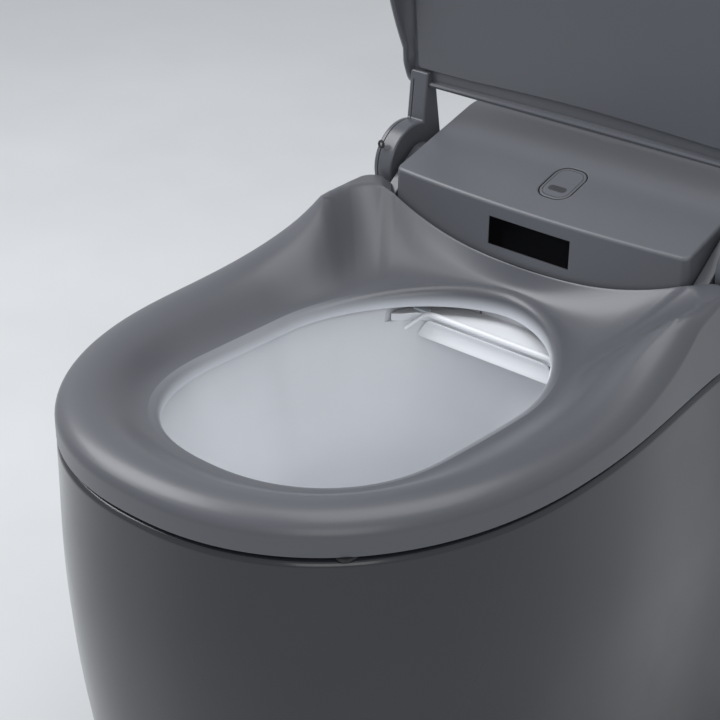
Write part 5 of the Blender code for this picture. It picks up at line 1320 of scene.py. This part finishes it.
def make_cover():
    cover = cover_solid("unit_cover", 0, COVER_LOW, COVER_EDGE, APRON_LOW)
    hollow = cover_solid("hollow", COVER_WALL, APRON_LOW - CUT_OVER, COVER_EDGE / 2)
    hole = prism("window_hole", window_outline(FIT_GAP, -CUT_OVER, CUT_OVER), 0,
                 about(0, WINDOW_HALF + FIT_GAP))
    wide, part = BUTTON_GAP + BUTTON_ROUND, BUTTON_ROUND * MID_ROUND_SHARE
    button_hole = slanted("button_hole", (
        (wide, CUT_OVER), (wide, 0), (BUTTON_GAP + part, -part), (BUTTON_GAP, -BUTTON_ROUND),
        (BUTTON_GAP, -CUT_OVER)))
    cut(cover, hollow, hole, button_hole)
    place(cover, "pan", ["top_cover"], 30)


def make_window():
    outline = window_outline(0, WINDOW_RECESS, WINDOW_RECESS + WINDOW_THICKNESS)
    window = prism("window_pane", outline, 0, about(0, WINDOW_HALF), "window")
    soften(window, WINDOW_EDGE)
    place(window, "pan", ["sensor_window"])


def make_button():
    """A pill with a fine ring groove, a round top edge and a lip under the cover."""
    top, under = -BUTTON_FLOAT, -COVER_WALL - BUTTON_GAP
    inner, outer = -BUTTON_RING - GROOVE_WIDTH, -BUTTON_RING
    lean = MID_ROUND_SHARE * GROOVE_WIDTH
    edge = [(-BUTTON_ROUND * (1 - s), top - BUTTON_ROUND * (1 - c)) for s, c in arc(5)]
    button = slanted("push_button", (
        (-BUTTON_CORNER * BUTTON_MIDDLE_SHARE, top), (inner, top),
        (inner + lean, top - GROOVE_DEPTH), (outer - lean, top - GROOVE_DEPTH), (outer, top),
        *edge, (0, under), (BUTTON_LIP, under), (BUTTON_LIP, -BUTTON_THICKNESS)), "cover_plastic")
    place(button, "top_button", ["top_button"], 30)


def make_button_mark():
    mark = slanted("button_mark", (
        (-MARK_PROUD, MARK_PROUD - BUTTON_FLOAT), (0, MARK_PROUD / 2 - BUTTON_FLOAT),
        (0, -BUTTON_ROUND)), "mark", half=MARK_HALF, length=MARK_HALF_LENGTH,
        corner=MARK_HALF_LENGTH - FIT_GAP, ahead=MARK_FORWARD)
    place(mark, "top_button", (), 30)


# Nozzle unit

def along_spray(distance, up=0.0, side=0.0):
    return SPRAY_POINT + SPRAY_DIR * distance + SPRAY_UP * up + Vector((side, 0, 0))


def smooth_loop(points, steps=6):
    """A closed smooth curve through the given points."""
    made = []
    count = len(points)
    for i in range(count):
        a, b, c, d = (Vector(points[(i + k) % count]) for k in (-1, 0, 1, 2))
        for t in even(steps)[:-1]:
            made.append(tuple(0.5 * (2 * b + (c - a) * t + (2 * a - 5 * b + 4 * c - d) * t ** 2
                                     + (3 * b - a - 3 * c + d) * t ** 3)))
    return made


def make_housing():
    """The white unit under the seat's rear in one: the sloping housing with its two bores, the
    shelf, the bead along its front, the chin below and the roof."""
    rear_low = along_spray(-HOUSING_BACK_RUN, -HOUSING_UNDER)
    rear_top = along_spray(-HOUSING_BACK_RUN, HOUSING_OVER)
    meet = rear_top.y - (rear_top.z - SHELF_TOP) / math.tan(SPRAY)
    housing = prism("nozzle_shroud", [
        (HOUSING_FRONT, housing_under(HOUSING_FRONT)), (rear_low.y, rear_low.z),
        (rear_top.y, rear_top.z), (meet, SHELF_TOP - FIT_GAP),
        (HOUSING_FRONT, SHELF_TOP - FIT_GAP)], 0, about(0, HOUSING_HALF), "white_plastic")
    soften(housing, HOUSING_EDGE)
    right = [(0, SHELF_FRONT), *shelf_line(SHELF_SHARES), (0, SHELF_BACK)]
    shelf = prism("shelf", smooth_loop(mirrored(right)), 2, (SHELF_BOTTOM, SHELF_TOP))
    soften(shelf, SHELF_EDGE, 5)
    line = bent([Vector(p) for p in BEAD_LINE], BEAD_BEND, 6)
    line += [Vector((-p.x, p.y, p.z)) for p in reversed(line)]
    ridge = swept("ridge", line, [BEAD_RADIUS] * len(line), across=(0, 1, 0), count=20)
    front, top = SHELF_FRONT + RUNNING_GAP, SHELF_BOTTOM + 2 * FIT_GAP
    chin = prism("chin", [(front, top), (front, CHIN_LOW), (CHIN_BACK, CHIN_LOW),
                          (CHIN_BACK + CHIN_SLANT, top)], 0, about(0, CHIN_HALF))
    roof = block("roof", about(0, HOUSING_HALF - FIT_GAP), (ROOF_FRONT, ROOF_BACK),
                 (SHELF_BOTTOM, ROOF_TOP))
    join(housing, shelf, ridge, chin, roof)
    cut(housing, *housing_cuts())
    place(housing, "pan", ["nozzle_housing"], 30)


def housing_cuts():
    """The two nozzle bores, the duct's opening and the seat of the night light."""
    length, radius = HOUSING_BACK_RUN + 3 * CUT_OVER, NOZZLE_RADIUS + NOZZLE_CLEARANCE
    bores = [rod("bore", along_spray(CUT_OVER, 0, side), -SPRAY_DIR, length, radius)
             for side in (-NOZZLE_SPREAD, NOZZLE_SPREAD)]
    duct_hole = block("duct_hole", about(DUCT_X, DUCT_HALF - DUCT_WALL),
                      about(SHELF_FRONT, 2 * CUT_OVER), about(DUCT_OUT_Z, DUCT_TALL - DUCT_WALL))
    lens_pocket = block("lens_pocket", about(-LENS_X, LENS_HALF + FIT_GAP),
                        about(LENS_Y, LENS_LENGTH / 2 + FIT_GAP),
                        about(SHELF_TOP, LENS_THICKNESS - LENS_SEAT))
    return [*bores, duct_hole, lens_pocket]


def make_nozzle(body, side):
    """A straight wand with a round nose and three fine jets on top."""
    start = along_spray(-NOZZLE_BACK_SET, 0, side)
    nose = [(NOZZLE_RADIUS * NOSE_SHARE * (1 - c), NOZZLE_RADIUS * s ** NOSE_POWER)
            for s, c in arc(9)]
    wand = turned(body + "_wand", start, -SPRAY_DIR,
                  nose + [(NOZZLE_LENGTH, NOZZLE_RADIUS), (NOZZLE_LENGTH, 0)], "white_plastic")
    lift = NOZZLE_RADIUS / 2
    jets = [rod("jet", start - SPRAY_DIR * spot + SPRAY_UP * (NOZZLE_RADIUS + lift), -SPRAY_UP,
                lift + NOZZLE_JET_DEPTH, NOZZLE_JET, "black_plastic", count=20)
            for spot in NOZZLE_JET_SETS]
    cut(wand, *jets)
    place(wand, body, [body], 40)


def flap_share(z):
    return (z - FLAP_TOP) / (FLAP_LOW - FLAP_TOP)


def curled(z):
    """How far the guard leans forward: a curl at its lower edge and a slight one at its top."""
    share = flap_share(z)
    top = max(1 - FLAP_TOP_CURL_RUN * share, 0) ** 2
    return FLAP_CURL * (share ** FLAP_CURL_POWER + FLAP_TOP_CURL_SHARE * top)


def flap_ring(x):
    """One upright section of the guard, shorter at its round corners and thinned at its edges."""
    into = max(FLAP_CORNER - (FLAP_HALF - abs(x)), 0)
    short = FLAP_CORNER - math.sqrt(max(FLAP_CORNER ** 2 - into ** 2, 0))
    top, low = FLAP_TOP - short * FLAP_CORNER_SHARES[0], FLAP_LOW + short * FLAP_CORNER_SHARES[1]
    thin = FLAP_THICKNESS / 2
    down = [(FLAP_THICKNESS, -1, mix(top, low, share)) for share in even(12)]
    up = [(0, 1, mix(low, top, share)) for share in even(12)]
    ring = []
    for depth, side, z in down + up:
        near = min(abs(z - top), abs(z - low))
        round_in = side * thin / 2 * max(1 - near / thin, 0) ** 2
        flare = 1 + FLAP_FLARE / FLAP_HALF * flap_share(z)
        ring.append(Vector((x * flare, FLAP_BACK - depth - curled(z) - round_in, z)))
    return ring


def make_flap():
    """The guard: a thin plate whose lower edge curls out towards the bowl."""
    rings = [flap_ring(-FLAP_HALF * c) for s, c in arc(80, turn=math.pi)]
    flap = skin("spray_guard", rings, "white_plastic")
    place(flap, "guard_flap", ["guard_flap"], 50)


def dress_frame():
    """Gives the CAD pieces that stay their materials and softened edges."""
    slots = {part["node"]: part["material_slot"] for part in frame["record"]["subparts"]}
    for name, obj in frame["nodes"].items():
        if obj.hide_render:
            continue
        obj.data.materials.clear()
        obj.data.materials.append(MATERIALS[slots[name]].material)
        weld = obj.modifiers.new("one skin", "WELD")
        weld.merge_threshold = WELD_REACH
        bevel(obj, FRAME_EDGE, 2, 40)


# Room

GLOW_Y = 0.190
GLOW_DROP = 0.120
CAMERA_TURN = 41.556
CAMERA_RISE = 27.077
CAMERA_TARGET = Vector((0, 0.21223, 0.028696))
CAMERA_REACH = 1.281036
CAMERA_LENS = 93.62
SENSOR_WIDTH = 36
FLOOR_REACH = 6.0
FLOOR_DROP = 0.0005
FLOOR_GREYS = ((0.60, 0.61, 0.62), (0.64, 0.65, 0.66))
SKY_COLOUR = (0.93, 0.96, 1.0, 1)
SKY_POWER = 0.55
LIGHT_AIM = (0, 0, 0.4)
LIGHTS = (
    ("key", (-1.5, -0.6, 2.1), (1.4, 1.4), 34, (0.97, 0.98, 1.0)),
    ("fill", (1.8, -1.8, 1.6), (1.6, 1.6), 13, (1.0, 0.99, 0.97)),
    ("top", (0.2, 0.3, 2.6), (1.6, 1.6), 20, (1, 1, 1)),
)
GLOW_SIZE = (0.09, 0.12)
GLOW_POWER = 0.05
GLOW_COLOUR = (0.95, 0.98, 1.0)


def make_room():
    floor = bpy.data.meshes.new("floor")
    far = FLOOR_REACH
    floor.from_pydata([(-far, -far, 0), (far, -far, 0), (far, far, 0), (-far, far, 0)], [],
                      [(0, 1, 2, 3)])
    ground = shown("floor", floor)
    ground.location = (0, 0, packed[0][2] - FLOOR_DROP)
    paint = Finish("pale_floor")
    paint.set(base_color=paint.mixed(paint.ranged(paint.noise(3, 4), 0, 1), *FLOOR_GREYS),
              roughness=paint.ranged(paint.noise(12, 4), 0.55, 0.75))
    floor.materials.append(paint.material)
    world = bpy.data.worlds.new("studio")
    world.use_nodes = True
    sky = world.node_tree.nodes["Background"]
    sky.inputs["Color"].default_value = SKY_COLOUR
    sky.inputs["Strength"].default_value = SKY_POWER
    bpy.context.scene.world = world


def area_light(name, spot, aim, size, power, colour):
    lamp = bpy.data.lights.new(name, "AREA")
    lamp.shape = "RECTANGLE"
    lamp.size, lamp.size_y = size
    lamp.energy = power
    lamp.color = colour
    obj = shown(name, lamp)
    obj.location = spot
    obj.rotation_euler = (Vector(aim) - Vector(spot)).to_track_quat("-Z", "Y").to_euler()
    return obj


def make_lights():
    for name, spot, size, power, colour in LIGHTS:
        area_light(name, spot, LIGHT_AIM, size, power, colour)
    glow = FLOOR_SHIFT + Vector((0, GLOW_Y, -GLOW_DROP))
    lamp = area_light("night light", glow, glow + Vector((0, 0, 1)), GLOW_SIZE, GLOW_POWER,
                      GLOW_COLOUR)
    lamp.visible_camera = False
    lamp.visible_glossy = False


def make_camera():
    lens = bpy.data.cameras.new("camera")
    lens.sensor_width = SENSOR_WIDTH
    lens.lens = CAMERA_LENS
    obj = shown("camera", lens)
    turn, rise = math.radians(CAMERA_TURN), math.radians(CAMERA_RISE)
    back = Vector((math.cos(rise) * math.sin(turn), -math.cos(rise) * math.cos(turn),
                   math.sin(rise)))
    obj.location = FLOOR_SHIFT + CAMERA_TARGET + back * CAMERA_REACH
    obj.rotation_euler = (math.pi / 2 - rise, 0, turn)
    bpy.context.scene.camera = obj


make_pan()
make_trapway()
make_flush_channel()
make_seat()
make_lid()
make_lid_liner()
make_cover()
make_window()
make_button()
make_button_mark()
make_housing()
make_nozzle("rear_nozzle", -NOZZLE_SPREAD)
make_nozzle("front_nozzle", NOZZLE_SPREAD)
make_flap()
dress_frame()
make_room()
make_lights()
make_camera()
bpy.context.scene.view_settings.view_transform = "Standard"
